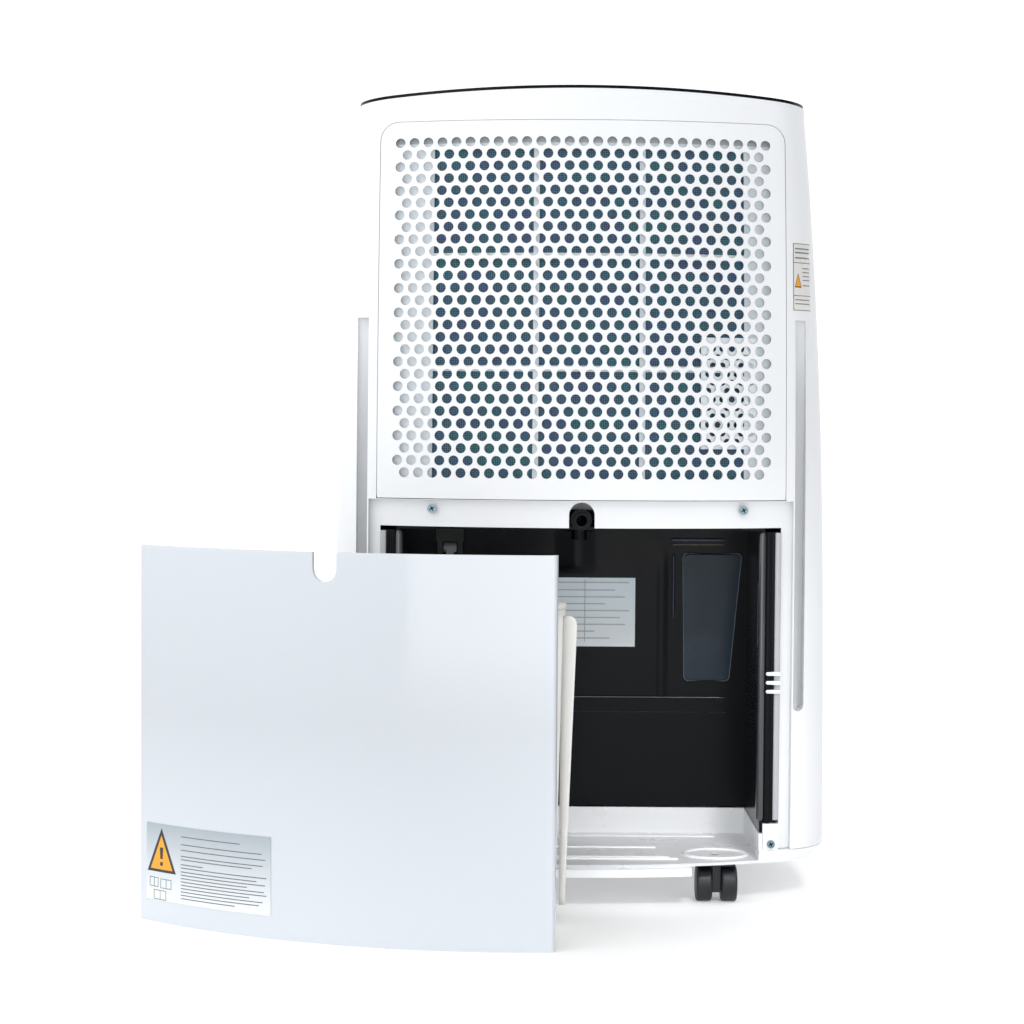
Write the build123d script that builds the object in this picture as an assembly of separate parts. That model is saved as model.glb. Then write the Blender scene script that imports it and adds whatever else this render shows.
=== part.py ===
from build123d import *
import math
import os

# ---------------------------------------------------------------------------
# Free-standing compressor dehumidifier, 615 mm tall, on four castors, with
# its water tank drawn out and stood on the floor beside it.
# Frame: +Z up, floor at Z = 0, rear face towards -Y. The pieces are laid out
# round the cabinet's own middle, and the files are written from the middle of
# the floor that the cabinet and the drawn-out tank cover together.
# ---------------------------------------------------------------------------

# Cabinet
CABINET_HEIGHT = 615.0      # crown of the black top above the floor
CABINET_HALF_WIDTH = 188.5  # at the bottom of the sides
TOP_NARROWING = 16.5        # how much each side leans in by at z = 600
REAR_Y = -140.0             # rear-most line of the cabinet
FRONT_Y = 140.0
REAR_RADIUS = 415.0         # plan radius of the bowed rear face
FRONT_RADIUS = 620.0
LEAN_START = 247.0          # above this height the rear face leans forward
LEAN_RATE = 0.00032         # forward lean = rate * (z - start)^2
WALL = 2.5
SKIRT_Z = 31.0              # underside of the base pan
SHELL_Z = 42.0              # bottom edge of the cabinet shells
CROWN_RADIUS = 1850.0       # cross radius of the top

# Rear openings
GRILLE_HALF = 153.0
GRILLE_LOW = 305.0
GRILLE_HIGH = 588.0
HOLE_PITCH = 10.6
HOLE_RADIUS = 3.75
HOLE_ROWS = 28
TOP_ROW_Z = 572.0
PANEL_RECESS = 6.0          # the tank panel lies this deep in the rear face
RECESS_HALF = 159.5
BAY_HALF = 136.0
BAY_MOUTH_HALF = 150.5
BAY_TOP = 284.0
BAY_FLOOR = 31.0
BAY_BACK = 9.0              # y of the bay's back wall
SCOOP_IN, SCOOP_OUT = 160.5, 169.0
SCOOP_LOW, SCOOP_HIGH = 146.0, 440.0

# Tank
TANK_HALF = 158.0           # half chord of the bowed front panel
TANK_HEIGHT = 272.0
TANK_DEPTH = 138.0          # apex of the panel to the bucket's back
BUCKET_HALF = 134.0
BUCKET_HEIGHT = 228.0
TANK_YAW = 19.0             # how far the drawn-out tank is turned
TANK_X, TANK_Y = -180.5, -256.0   # apex of the panel on the floor

# Castors
CASTOR_X = 105.0
CASTOR_Y_REAR, CASTOR_Y_FRONT = -85.0, 95.0
WHEEL_RADIUS = 13.5
TRAIL = 10.0

# Fixings and cord gland
SCREW_X, SCREW_Z = (-111.5, 121.0), 297.5
GLAND_Y, GLAND_Z = 36.0, 86.0

# Fan
FAN_Z = 445.0
FAN_RADIUS = 92.0


def write(node, shape):
    """Write one node's solids to its own STEP file."""
    solids = list(shape.solids()) if hasattr(shape, "solids") else [shape]
    body = solids[0] if len(solids) == 1 else Compound(solids)
    curves_in_file = node != "rear_grille"  # the many holes would swell the file
    export_step(body, "parts/" + node + ".step", write_pcurves=curves_in_file)


def block(x0, x1, y0, y1, z0, z1):
    """Box between two corners."""
    centre = ((x0 + x1) / 2, (y0 + y1) / 2, (z0 + z1) / 2)
    return Pos(*centre) * Box(x1 - x0, y1 - y0, z1 - z0)


def rod(start, end, radius):
    """Round bar between two points."""
    start, end = Vector(*start), Vector(*end)
    plane = Plane(start, z_dir=end - start)
    return extrude(plane * Circle(radius), (end - start).length)


def tube(start, end, outer, inner):
    """Hollow round bar between two points."""
    return rod(start, end, outer) - rod(start, end, inner)


def join(shapes):
    """Fuse a list of shapes into one."""
    shapes = list(shapes)
    return shapes[0].fuse(*shapes[1:]) if len(shapes) > 1 else shapes[0]


# --- cabinet outline ---------------------------------------------------------

def half_width(z):
    return CABINET_HALF_WIDTH - TOP_NARROWING * (max(z, 0) / 600.0) ** 2.5


def rear_y(z):
    return REAR_Y + LEAN_RATE * max(z - LEAN_START, 0) ** 2


def front_y(z):
    return FRONT_Y - 0.00022 * max(z - 200.0, 0) ** 2


def outline(z, inset):
    """Closed plan outline at height z: bowed rear, round corners, flat sides, bowed front."""
    half = half_width(z) - inset
    rear, front = rear_y(z) + inset, front_y(z) - inset
    rear_r, front_r = REAR_RADIUS - inset, FRONT_RADIUS - inset
    rear_x, front_x = half - 28.0, half - 34.0

    def bow(x, apex, radius, sign):
        return apex + sign * (radius - math.sqrt(radius ** 2 - x ** 2))

    def corner(x, apex, radius, sign):
        """Arc from the bow, tangent to it, round to the side: its middle and end."""
        lean = math.asin(x / radius)
        turn = (half - x) / (1 - math.sin(lean))
        centre = (half - turn, bow(x, apex, radius, sign) + sign * turn * math.cos(lean))
        middle = (lean + math.pi / 2) / 2
        mid = (centre[0] + turn * math.sin(middle), centre[1] - sign * turn * math.cos(middle))
        return mid, (half, centre[1])

    rear_mid, rear_end = corner(rear_x, rear, rear_r, 1)
    front_mid, front_end = corner(front_x, front, front_r, -1)
    rear_side = (rear_x, bow(rear_x, rear, rear_r, 1))
    front_side = (front_x, bow(front_x, front, front_r, -1))

    def flip(p):
        return (-p[0], p[1])

    edges = [
        ThreePointArc(flip(rear_side), (0, rear), rear_side),
        ThreePointArc(rear_side, rear_mid, rear_end),
        Line(rear_end, front_end),
        ThreePointArc(front_end, front_mid, front_side),
        ThreePointArc(front_side, (0, front), flip(front_side)),
        ThreePointArc(flip(front_side), flip(front_mid), flip(front_end)),
        Line(flip(front_end), flip(rear_end)),
        ThreePointArc(flip(rear_end), flip(rear_mid), flip(rear_side)),
    ]
    return Pos(0, 0, z) * make_face(Wire(edges))


LEVELS = [SHELL_Z, 150.0, LEAN_START, 330.0, 410.0, 490.0, 560.0, 625.0]


def cabinet(inset):
    """Solid of the cabinet's outside, pushed in by inset, before the top is cut."""
    return loft([outline(z, inset) for z in LEVELS])


def crown(height):
    """Everything under the crowned top, whose middle is at this height."""
    barrel = rod((0, -400, height - CROWN_RADIUS), (0, 400, height - CROWN_RADIUS), CROWN_RADIUS)
    return barrel & block(-260, 260, -300, 300, 20, 700)


OUTER = cabinet(0)
INNER = cabinet(WALL)
RECESS = cabinet(PANEL_RECESS)
RECESS_BACK = cabinet(PANEL_RECESS + WALL)
TOP_PLATE = 4.0
DECK = crown(CABINET_HEIGHT - TOP_PLATE)
ROOF = crown(CABINET_HEIGHT)
SEAM_Y = 12.0               # joint between rear and front shells


# --- cabinet shells ------------------------------------------------------------

def rounded_window(half, low, high, radius, y0, y1):
    """Prism through the rear face with round upper corners."""
    face = Pos(0, (low + high) / 2) * Rectangle(2 * half, high - low)
    face = fillet(face.vertices().group_by(Axis.Y)[-1], radius)
    return extrude(Plane(origin=(0, y0, 0), x_dir=(1, 0, 0), z_dir=(0, -1, 0)) * face, y0 - y1)


def build_shells():
    """Rear and front shells, with the grille window, tank recess and grip scoops."""
    skin = OUTER - INNER
    recess_wall = (OUTER - RECESS_BACK) & block(-RECESS_HALF - WALL, RECESS_HALF + WALL,
                                                -200, -40, SHELL_Z, GRILLE_LOW + 3)
    rear = (skin & block(-250, 250, -250, SEAM_Y, 0, 700)) + recess_wall
    pockets, linings = [], []
    for side in (-1, 1):
        x0, x1 = sorted((side * SCOOP_IN, side * SCOOP_OUT))
        pockets.append(block(x0, x1, -200, -84, SCOOP_LOW + 4, SCOOP_HIGH))
        pockets.append(rod(((x0 + x1) / 2, -200, SCOOP_LOW + 4.25),
                           ((x0 + x1) / 2, -84, SCOOP_LOW + 4.25), 4.25))
        linings.append(block(x0 - 1.8, x1 + 1.8, -200, -82, SCOOP_LOW - 2, SCOOP_HIGH + 2))
    rear = rear + (join(linings) & OUTER)
    rear = rear - (block(-RECESS_HALF, RECESS_HALF, -200, -40, 0, GRILLE_LOW - 1) - RECESS)
    rear = rear - block(-BAY_MOUTH_HALF, BAY_MOUTH_HALF, -200, -40, 0, BAY_TOP)
    rear = rear - rounded_window(GRILLE_HALF + 0.6, GRILLE_LOW - 0.6, GRILLE_HIGH + 0.6, 14.6,
                                 -60, -200)
    rear = rear - join(pockets)
    notch = rod((0, -200, 293.5), (0, -40, 293.5), 9.5) + block(-9.5, 9.5, -200, -40, 280, 293.5)
    rear = (rear - notch) & DECK
    for x in SCREW_X:
        rear = rear - rod((x, -200, SCREW_Z), (x, -60, SCREW_Z), 1.62)
    front = (skin & block(-250, 250, SEAM_Y + 0.4, 250, 0, 700)) & DECK
    front = front - rod((150, GLAND_Y, GLAND_Z), (250, GLAND_Y, GLAND_Z), 11.0)
    return rear, front


def build_top():
    """Black control deck with the outlet mouth, button holes and display window."""
    top = (OUTER & ROOF) - DECK
    top = top - block(-112, 112, OUTLET_Y0, OUTLET_Y1, 560, 700)
    for x in BUTTON_X:
        top = top - rod((x, BUTTON_Y, 560), (x, BUTTON_Y, 700), 7.4)
    top = top - block(-28, 28, BUTTON_Y - 9, BUTTON_Y + 9, 560, 700)
    return top


BUTTON_X = (-95.0, -67.0, 67.0, 95.0)
BUTTON_Y = 4.0
OUTLET_Y0, OUTLET_Y1 = 38.0, 84.0


def deck_z(x):
    """Height of the deck's top surface at this x."""
    return CABINET_HEIGHT - CROWN_RADIUS + math.sqrt(CROWN_RADIUS ** 2 - x ** 2)


def build_button(x):
    cap = rod((x, BUTTON_Y, 609), (x, BUTTON_Y, deck_z(x) + 1.2), 7.0)
    stem = rod((x, BUTTON_Y, 600), (x, BUTTON_Y, 609), 3.0)
    return cap + stem


def build_display():
    lens = block(-27.6, 27.6, BUTTON_Y - 8.6, BUTTON_Y + 8.6, 610, 614.6)
    return lens


def build_outlet():
    """Louvre tray under the outlet mouth with seven fixed vanes."""
    y0, y1 = OUTLET_Y0 + 0.5, OUTLET_Y1 - 0.5
    tray = block(-111.5, 111.5, y0, y1, 582, 602) - block(-109.5, 109.5, y0 + 2, y1 - 2, 580, 606)
    vanes = [block(x - 0.8, x + 0.8, y0 + 1, y1 - 1, 584, 598) for x in range(-90, 91, 30)]
    return join([tray] + vanes)


FLAP_Y, FLAP_Z = 77.5, 609.5


def build_flap():
    """Outlet flap: crowned plate, rounded about its hinge at the front edge, with two pins."""
    plate = (block(-111.2, 111.2, OUTLET_Y0 + 0.8, OUTLET_Y1 - 0.8, 600, 640) & ROOF) - crown(CABINET_HEIGHT - 3)
    knuckle = rod((-120, FLAP_Y, FLAP_Z), (120, FLAP_Y, FLAP_Z), OUTLET_Y1 - 0.35 - FLAP_Y)
    plate = plate & (block(-120, 120, OUTLET_Y0, FLAP_Y, 600, 640) + knuckle)
    pins = [rod((s * 104, FLAP_Y, FLAP_Z), (s * 111.7, FLAP_Y, FLAP_Z), 1.5) for s in (-1, 1)]
    return join([plate] + pins)


# --- rear grille and filter --------------------------------------------------------

def grille_holes():
    """Centres of the staggered holes: 27 in odd rows, 26 in even rows."""
    rise = HOLE_PITCH * math.sqrt(3) / 2
    places = []
    for row in range(HOLE_ROWS):
        count = 27 - row % 2
        for column in range(count):
            places.append(((column - (count - 1) / 2) * HOLE_PITCH, TOP_ROW_Z - row * rise))
    return places


def build_grille():
    window = rounded_window(GRILLE_HALF, GRILLE_LOW, GRILLE_HIGH, 14.0, -60, -200)
    panel = (OUTER - INNER) & window
    plane = Plane(origin=(0, -60, 0), x_dir=(1, 0, 0), z_dir=(0, -1, 0))
    holes = extrude(plane * Sketch([Pos(x, z) * Circle(HOLE_RADIUS) for x, z in grille_holes()]), 100)
    return panel - holes


FRAME_HALF = 146.0


def build_filter_frame():
    """Three by three window frame with wide side borders, clipped behind the grille."""
    low, high = 318.0, 570.0
    left, right = -114.0, 123.4
    bars = []
    for i in range(4):
        x = left + i * (right - left) / 3
        x0 = -FRAME_HALF if i == 0 else x - 2.2
        x1 = FRAME_HALF if i == 3 else x + 2.2
        bars.append(block(x0, x1, -200, 0, low - 2.2, high + 2.2))
        z = low + i * (high - low) / 3
        bars.append(block(-FRAME_HALF, FRAME_HALF, -200, 0, z - 2.2, z + 2.2))
    return join(bars) & (cabinet(6.0) - cabinet(10.0))


def build_filter_mesh():
    sheet = cabinet(10.4) - cabinet(11.2)
    return sheet & block(-118, 128, -200, -40, 316, 572)


# --- refrigeration circuit ------------------------------------------------------------

COIL_LOW, COIL_HIGH = 322.0, 566.0
COIL_LEFT, COIL_RIGHT = -118.0, 128.0


def build_fins(y0, y1):
    """Stack of thin fins, held together by two end plates and the tie strips."""
    count = 40
    step = (COIL_RIGHT - COIL_LEFT) / count
    fins = [block(COIL_LEFT + i * step - 0.3, COIL_LEFT + i * step + 0.3, y0, y1,
                  COIL_LOW, COIL_HIGH) for i in range(count + 1)]
    ties = [block(COIL_LEFT, COIL_RIGHT, y1 - 1.2, y1, z - 2, z + 2)
            for z in (COIL_LOW + 3, (COIL_LOW + COIL_HIGH) / 2, COIL_HIGH - 3)]
    stack = join(fins + ties)
    for z in coil_rows():
        y = (y0 + y1) / 2
        stack = stack - rod((COIL_LEFT - 2, y, z), (COIL_RIGHT + 2, y, z), 4.2)
    return stack


def coil_rows():
    return [COIL_LOW + 14 + i * 27.0 for i in range(9)]


def build_tubes(y):
    """Serpentine: straight runs with return bends at alternate ends."""
    rows = coil_rows()
    pieces = [rod((COIL_LEFT - 6, y, z), (COIL_RIGHT + 6, y, z), 4.0) for z in rows]
    for i in range(len(rows) - 1):
        x = COIL_RIGHT + 6 if i % 2 == 0 else COIL_LEFT - 6
        pieces.append(rod((x, y, rows[i] - 4), (x, y, rows[i + 1] + 4), 4.0))
    return join(pieces)


def build_compressor():
    can = Pos(72, 70, 142) * Cylinder(50, 150)
    can = fillet(can.edges().filter_by(GeomType.CIRCLE), 18)
    feet = [block(72 - 60, 72 + 60, 70 - 9, 70 + 9, 62, 69)]
    feet.append(block(72 - 9, 72 + 9, 70 - 55, 70 + 55, 62, 69))
    return join([can] + feet)


def build_mounts():
    """Rubber feet under the compressor."""
    places = [(72 - 54, 70), (72 + 54, 70), (72, 70 - 49), (72, 70 + 49)]
    return Compound([rod((x, y, SHELL_Z - 0.4), (x, y, 62), 6.5) for x, y in places])


def build_pipes():
    """Copper lines between the compressor and the two coils."""
    run_a = [(72, 46, 217), (72, 46, 250), (144, 46, 250), (144, 46, 340), (144, -28, 340)]
    run_b = [(90, 76, 217), (90, 76, 262), (152, 76, 262), (152, 76, 540), (152, -62, 540)]
    solids = []
    for run in (run_a, run_b):
        parts = [rod(a, b, 3.0) for a, b in zip(run, run[1:])]
        parts += [Pos(*p) * Sphere(3.0) for p in run[1:-1]]
        solids.append(join(parts))
    return Compound([s for run in solids for s in run.solids()])


# --- fan ----------------------------------------------------------------------------------

def build_fan_wheel():
    """Squirrel-cage wheel on the motor shaft's line."""
    back = Pos(5, 0, 0) * rod((0, 44, FAN_Z), (0, 47, FAN_Z), FAN_RADIUS)
    ring = Pos(5, 0, 0) * tube((0, 2, FAN_Z), (0, 6, FAN_Z), FAN_RADIUS, FAN_RADIUS - 12)
    hub = Pos(5, 0, 0) * rod((0, 26, FAN_Z), (0, 47, FAN_Z), 14)
    blades = []
    for i in range(30):
        angle = 360 * i / 30
        blade = Pos(FAN_RADIUS - 6.5, 25, 0) * Box(8, 42, 1.2)
        blades.append(Pos(5, 0, FAN_Z) * Rot(0, angle, 0) * blade)
    wheel = join([back, ring, hub] + blades)
    return wheel - rod((5, 20, FAN_Z), (5, 50, FAN_Z), 4.05)


def build_scroll():
    """Scroll housing round the wheel, open at the back and up to the outlet."""
    outer = rod((5, -2, FAN_Z), (5, 56, FAN_Z), 112) + block(-107, 117, -2, 56, FAN_Z, 578)
    inner = rod((5, 0, FAN_Z), (5, 54, FAN_Z), 110) + block(-105, 115, 0, 54, FAN_Z, 600)
    shell = outer - inner
    shell = shell - rod((5, -10, FAN_Z), (5, 10, FAN_Z), 80)
    return shell - rod((5, 50, FAN_Z), (5, 60, FAN_Z), 20)


def build_motor():
    can = Pos(5, 0, 0) * rod((0, 58, FAN_Z), (0, 96, FAN_Z), 40)
    can = fillet(can.edges().filter_by(GeomType.CIRCLE), 4)
    shaft = Pos(5, 0, 0) * rod((0, 22, FAN_Z), (0, 60, FAN_Z), 4.0)
    return can + shaft


# --- water path and bay ----------------------------------------------------------------------

def build_drip_tray():
    tray = block(-128, 138, -84, -6, 296, 314) - block(-126, 136, -82, -8, 298, 320)
    return tray - rod((0, -60, 280), (0, -60, 300), 6.3)


def build_drain_nozzle():
    """Short pipe from the drip tray down through the bay's ceiling."""
    return tube((0, -60, 272), (0, -60, 298), 6.0, 4.2)


def build_spigot():
    """Hose spigot reached through the notch, with its flange."""
    pipe = tube((0, -131, 289.5), (0, -86, 289.5), 5.5, 4.1)
    flange = tube((0, -118, 289.5), (0, -115, 289.5), 8.0, 5.4)
    return pipe + flange


def build_liner():
    """Black bay lining: ceiling, two sides, back wall with recess, ledges and column."""
    t = 2.2
    half, low, high = BAY_HALF, BAY_FLOOR + 24, BAY_TOP - t
    back = block(-half - t, half + t, BAY_BACK, BAY_BACK + t, low, high + t)
    sides = [block(min(s * half, s * (half + t)), max(s * half, s * (half + t)), -108, BAY_BACK + t,
                   low, high + t) for s in (-1, 1)]
    ceiling = block(-half - t, half + t, -108, BAY_BACK + t, high, high + t)
    ceiling = ceiling - rod((0, -60, 270), (0, -60, 290), 6.4)
    step = block(-60, 120, BAY_BACK - 2.0, BAY_BACK, 131, 143)
    sill = block(-60, 120, BAY_BACK - 1.0, BAY_BACK, low, 131)
    bar = block(80, 118, BAY_BACK - 3, BAY_BACK, 262, 270)
    strip = block(76, 81, BAY_BACK - 1.5, BAY_BACK, 205, 256)
    liner = join([back, ceiling, step, sill, bar, strip] + sides)
    shape = Polyline((84, 259), (133, 259), (123, 155), (86, 155), close=True)
    recess = extrude(Plane(origin=(0, BAY_BACK - 1, 0), x_dir=(1, 0, 0), z_dir=(0, -1, 0))
                     * make_face(shape), -2.0)
    return liner - recess


def build_column():
    """Two upright corner columns of the bay, between the lining and the mouth."""
    parts = []
    for side in (-1, 1):
        x0, x1 = sorted((side * 139.0, side * 148.0))
        parts.append(block(x0, x1, -108, -98, 62, BAY_TOP - 3))
        parts.append(rod((side * 141, -108, 62), (side * 141, -108, BAY_TOP - 3), 2.6))
    return Compound([s for s in join(parts).solids()])


def build_base():
    """White base pan: rounded skirt, tank floor with upstand, machine deck, castor bosses."""
    low, high = outline(SKIRT_Z, 9.0), outline(SHELL_Z - 0.4, 0.0)
    pan = loft([low, high], ruled=True)
    well = block(-BAY_HALF + 0.5, BAY_HALF - 0.5, -200, BAY_BACK - 1, BAY_FLOOR + 2.5, 80)
    upstand = block(-BAY_HALF - 2, BAY_HALF + 2, -112, BAY_BACK + 1, SKIRT_Z + 2, 54)
    pan = pan + upstand
    pan = pan - well
    pan = pan - (block(-BAY_HALF - 2.6, BAY_HALF + 2.6, -108.4, 10, 54, 60))
    for x, y in castor_places():
        pan = pan + rod((x, y, SKIRT_Z), (x, y, boss_top(y)), 9)
        pan = pan - rod((x, y, SKIRT_Z - 1), (x, y, boss_top(y) + 0.5), 4.04)
    return pan


def build_tray_lip():
    """Bowed lip that hangs below the middle of the tank floor's rear edge."""
    return block(-84, 84, -150, -110, 25, SKIRT_Z) & outline_prism(1.0, 20, 60)


def outline_prism(inset, low, high):
    """Straight prism of the cabinet's plan outline at its foot."""
    return extrude(Pos(0, 0, low - SHELL_Z) * outline(SHELL_Z, inset), high - low)


GUIDE_SCREW_Z = 46.5


def build_corner_blocks():
    """Guide blocks at the mouth of the bay's floor, with their screw bosses."""
    parts = []
    for side in (-1, 1):
        x0, x1 = sorted((side * 138.4, side * 150.0))
        guide = block(x0, x1, -112, -99, SHELL_Z - 0.4, 61.5)
        parts.append(guide - rod((side * 144.5, -115, GUIDE_SCREW_Z),
                                 (side * 144.5, -90, GUIDE_SCREW_Z), 1.62))
    return Compound(parts)


def build_ribs():
    """Three short white ribs on the right jamb that key the tank panel."""
    return Compound([block(144.2, 150.2, -112, -108.4, z - 1.3, z + 1.3) for z in (161.2, 167.8, 174.6)])


def castor_places():
    return [(-CASTOR_X, CASTOR_Y_REAR), (CASTOR_X, CASTOR_Y_REAR),
            (-CASTOR_X, CASTOR_Y_FRONT), (CASTOR_X, CASTOR_Y_FRONT)]


def boss_top(y):
    """Top of a castor boss: flush with the bay's floor at the rear, a raised boss at the front."""
    return BAY_FLOOR + 2.5 if y < 0 else 46.0


def build_fork(x, y):
    """Castor fork: hood plate, centre web and a stem up into the boss."""
    hood = block(x - 14, x + 14, y - TRAIL - 9, y + 9, 27.6, 30.4)
    web = block(x - 3, x + 3, y - TRAIL - 7, y + 6, WHEEL_RADIUS - 6, 28)
    stem = rod((x, y, 30), (x, y, boss_top(y) - 0.8), 4.0)
    hole = rod((x - 5, y - TRAIL, WHEEL_RADIUS), (x + 5, y - TRAIL, WHEEL_RADIUS), 2.55)
    return join([hood, web, stem]) - hole


def build_wheels(x, y):
    """Pair of castor wheels on one axle."""
    z, yy = WHEEL_RADIUS, y - TRAIL
    parts = [rod((x - 13, yy, z), (x + 13, yy, z), 2.5)]
    for side in (-1, 1):
        x0, x1 = sorted((x + side * 3.4, x + side * 15.5))
        tyre = rod((x0, yy, z), (x1, yy, z), WHEEL_RADIUS)
        parts.append(fillet(tyre.edges().filter_by(GeomType.CIRCLE), 2.0))
    return join(parts)


# --- tank ----------------------------------------------------------------------------------------

PLACE = Pos(TANK_X, TANK_Y, 0) * Rot(0, 0, -TANK_YAW)


def bow_y(x, inset=0.0):
    """Depth of the tank panel's face behind its apex."""
    radius = REAR_RADIUS - inset
    return inset + radius - math.sqrt(radius ** 2 - x ** 2)


def bowed_plate(half, y_in, thickness, low, high):
    """Upright plate following the bowed face."""
    a, b = y_in, y_in + thickness
    edges = [
        ThreePointArc((-half, bow_y(half, a)), (0, a), (half, bow_y(half, a))),
        Line((half, bow_y(half, a)), (half, bow_y(half, b))),
        ThreePointArc((half, bow_y(half, b)), (0, b), (-half, bow_y(half, b))),
        Line((-half, bow_y(half, b)), (-half, bow_y(half, a))),
    ]
    return extrude(Pos(0, 0, low) * make_face(Wire(edges)), high - low)


def build_tank_panel():
    """Bowed front panel with side returns and the notch for the hose spigot."""
    plate = bowed_plate(TANK_HALF, 0, 3.0, 0, TANK_HEIGHT)
    rims = [bowed_plate(TANK_HALF, 0, 5.6, 0, TANK_HEIGHT)
            & block(min(s * 154, s * 160), max(s * 154, s * 160), -10, 60, 0, TANK_HEIGHT)
            for s in (-1, 1)]
    top = bowed_plate(TANK_HALF, 0, 5.6, TANK_HEIGHT - 3, TANK_HEIGHT)
    panel = join([plate, top] + rims)
    notch = rod((0, -10, 260.5), (0, 30, 260.5), 9.0) + block(-9, 9, -10, 30, 260.5, 300)
    return panel - notch


def bucket_face(half, front, back, radius, z):
    """Plan of the bucket: bowed front, flat sides and back with round corners."""
    edges = [
        ThreePointArc((-half, bow_y(half, front)), (0, front), (half, bow_y(half, front))),
        Line((half, bow_y(half, front)), (half, back - radius)),
        RadiusArc((half, back - radius), (half - radius, back), -radius),
        Line((half - radius, back), (-half + radius, back)),
        RadiusArc((-half + radius, back), (-half, back - radius), -radius),
        Line((-half, back - radius), (-half, bow_y(half, front))),
    ]
    return Pos(0, 0, z) * make_face(Wire(edges))


def build_bucket():
    """Open translucent bucket with drafted walls and a folded rim."""
    back = TANK_DEPTH
    outer = loft([bucket_face(BUCKET_HALF - 4, 3.4, back - 8, 12, 0.5),
                  bucket_face(BUCKET_HALF - 1.5, 3.4, back - 1.5, 12, BUCKET_HEIGHT)], ruled=True)
    inner = loft([bucket_face(BUCKET_HALF - 6.4, 5.8, back - 10.4, 10, 3.0),
                  bucket_face(BUCKET_HALF - 3.7, 5.8, back - 3.7, 10, BUCKET_HEIGHT + 1)], ruled=True)
    rim = extrude(bucket_face(BUCKET_HALF, 3.2, back, 13, BUCKET_HEIGHT - 5), 5)
    rim = rim - extrude(bucket_face(BUCKET_HALF - 4.5, 6.6, back - 4.5, 10, BUCKET_HEIGHT - 6), 8)
    rim = rim - outer
    return (outer + rim) - inner


def build_bridge():
    """Fixed front part of the cover, up to the lid's hinge line."""
    slab = extrude(bucket_face(BUCKET_HALF, 3.4, 60, 5, BUCKET_HEIGHT + 0.0), 4)
    slab = slab & block(-140, 140, 0, LID_Y - 4, 200, 300)
    knuckles = [rod((x - 9, LID_Y, LID_Z), (x + 9, LID_Y, LID_Z), 3.0) for x in (-70, 70)]
    webs = [block(x - 9, x + 9, LID_Y - 6, LID_Y, LID_Z - 2.5, LID_Z + 1.5) for x in (-70, 70)]
    bridge = join([slab] + knuckles + webs)
    return bridge - rod((-90, LID_Y, LID_Z), (90, LID_Y, LID_Z), 1.25)


LID_Y, LID_Z = 44.0, BUCKET_HEIGHT + 2.0


def build_lid():
    """Rear cover with the water inlet, hinged on the bridge."""
    slab = extrude(bucket_face(BUCKET_HALF, 3.4, TANK_DEPTH, 12, BUCKET_HEIGHT + 0.3), 3.7)
    slab = slab & block(-140, 140, LID_Y + 4, TANK_DEPTH, 200, 300)
    slab = slab - rod((0, 80, 200), (0, 80, 260), 13)
    ring = tube((0, 80, BUCKET_HEIGHT + 3.5), (0, 80, BUCKET_HEIGHT + 6), 16, 13)
    parts = [slab, ring]
    for x in (-70, 70):
        for side in (-1, 1):
            x0, x1 = sorted((x + side * 9.5, x + side * 15))
            parts.append(rod((x0, LID_Y, LID_Z), (x1, LID_Y, LID_Z), 3.0))
            parts.append(block(x0, x1, LID_Y, LID_Y + 6, LID_Z - 1.7, LID_Z + 2))
        parts.append(rod((x - 12, LID_Y, LID_Z), (x + 12, LID_Y, LID_Z), 1.2))
    lugs = [block(min(s * 102, s * 108), max(s * 102, s * 108), HANDLE_Y - 6, HANDLE_Y + 6,
                  BUCKET_HEIGHT + 3.5, BUCKET_HEIGHT + 14) for s in (-1, 1)]
    lid = join(parts + lugs)
    return lid - rod((-120, HANDLE_Y, HANDLE_Z), (120, HANDLE_Y, HANDLE_Z), 2.05)


HANDLE_Y, HANDLE_Z = 112.0, BUCKET_HEIGHT + 9.5


def build_handle():
    """Bail handle on the lid, folded forward at rest."""
    bar = rod((-98, HANDLE_Y - 50, HANDLE_Z), (98, HANDLE_Y - 50, HANDLE_Z), 4.0)
    arms = [rod((s * 98, HANDLE_Y - 50, HANDLE_Z), (s * 98, HANDLE_Y, HANDLE_Z), 3.2) for s in (-1, 1)]
    knobs = [Pos(s * 98, HANDLE_Y - 50, HANDLE_Z) * Sphere(4.0) for s in (-1, 1)]
    pins = [rod((s * 96, HANDLE_Y, HANDLE_Z), (s * 107.5, HANDLE_Y, HANDLE_Z), 2.0) for s in (-1, 1)]
    return join([bar] + arms + knobs + pins)


def build_float():
    """Float block on an arm, pivoted on a bracket inside the bucket."""
    weight = block(86, 116, 88, 120, 172, 196)
    arm = block(98, 104, 70, 92, 186, 191)
    boss = rod((96, 66, 188), (106, 66, 188), 5.0)
    return join([weight, arm, block(98, 104, 64, 72, 186, 190), boss]) - rod((90, 66, 188), (110, 66, 188), 1.55)


def build_float_bracket():
    """Bracket hanging from the bridge's line, holding the float's pin."""
    cheeks = [block(x0, x1, 60, 70, 184, 226) for x0, x1 in ((90.5, 94.5), (107.5, 111.5))]
    bar = block(90.5, 111.5, 60, 64, 214, 226)
    pin = rod((91, 66, 188), (111, 66, 188), 1.5)
    tail = block(90.5, 111.5, 30, 70, 222, BUCKET_HEIGHT)
    return join(cheeks + [bar, pin, tail])


def build_sticker():
    """Thin paper label low on the panel's left part."""
    plate = bowed_plate(TANK_HALF, -0.25, 0.25, 22, 78)
    return plate & block(-151, -57, -10, 60, 0, 120)


# --- small hardware ---------------------------------------------------------------------------------

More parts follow.
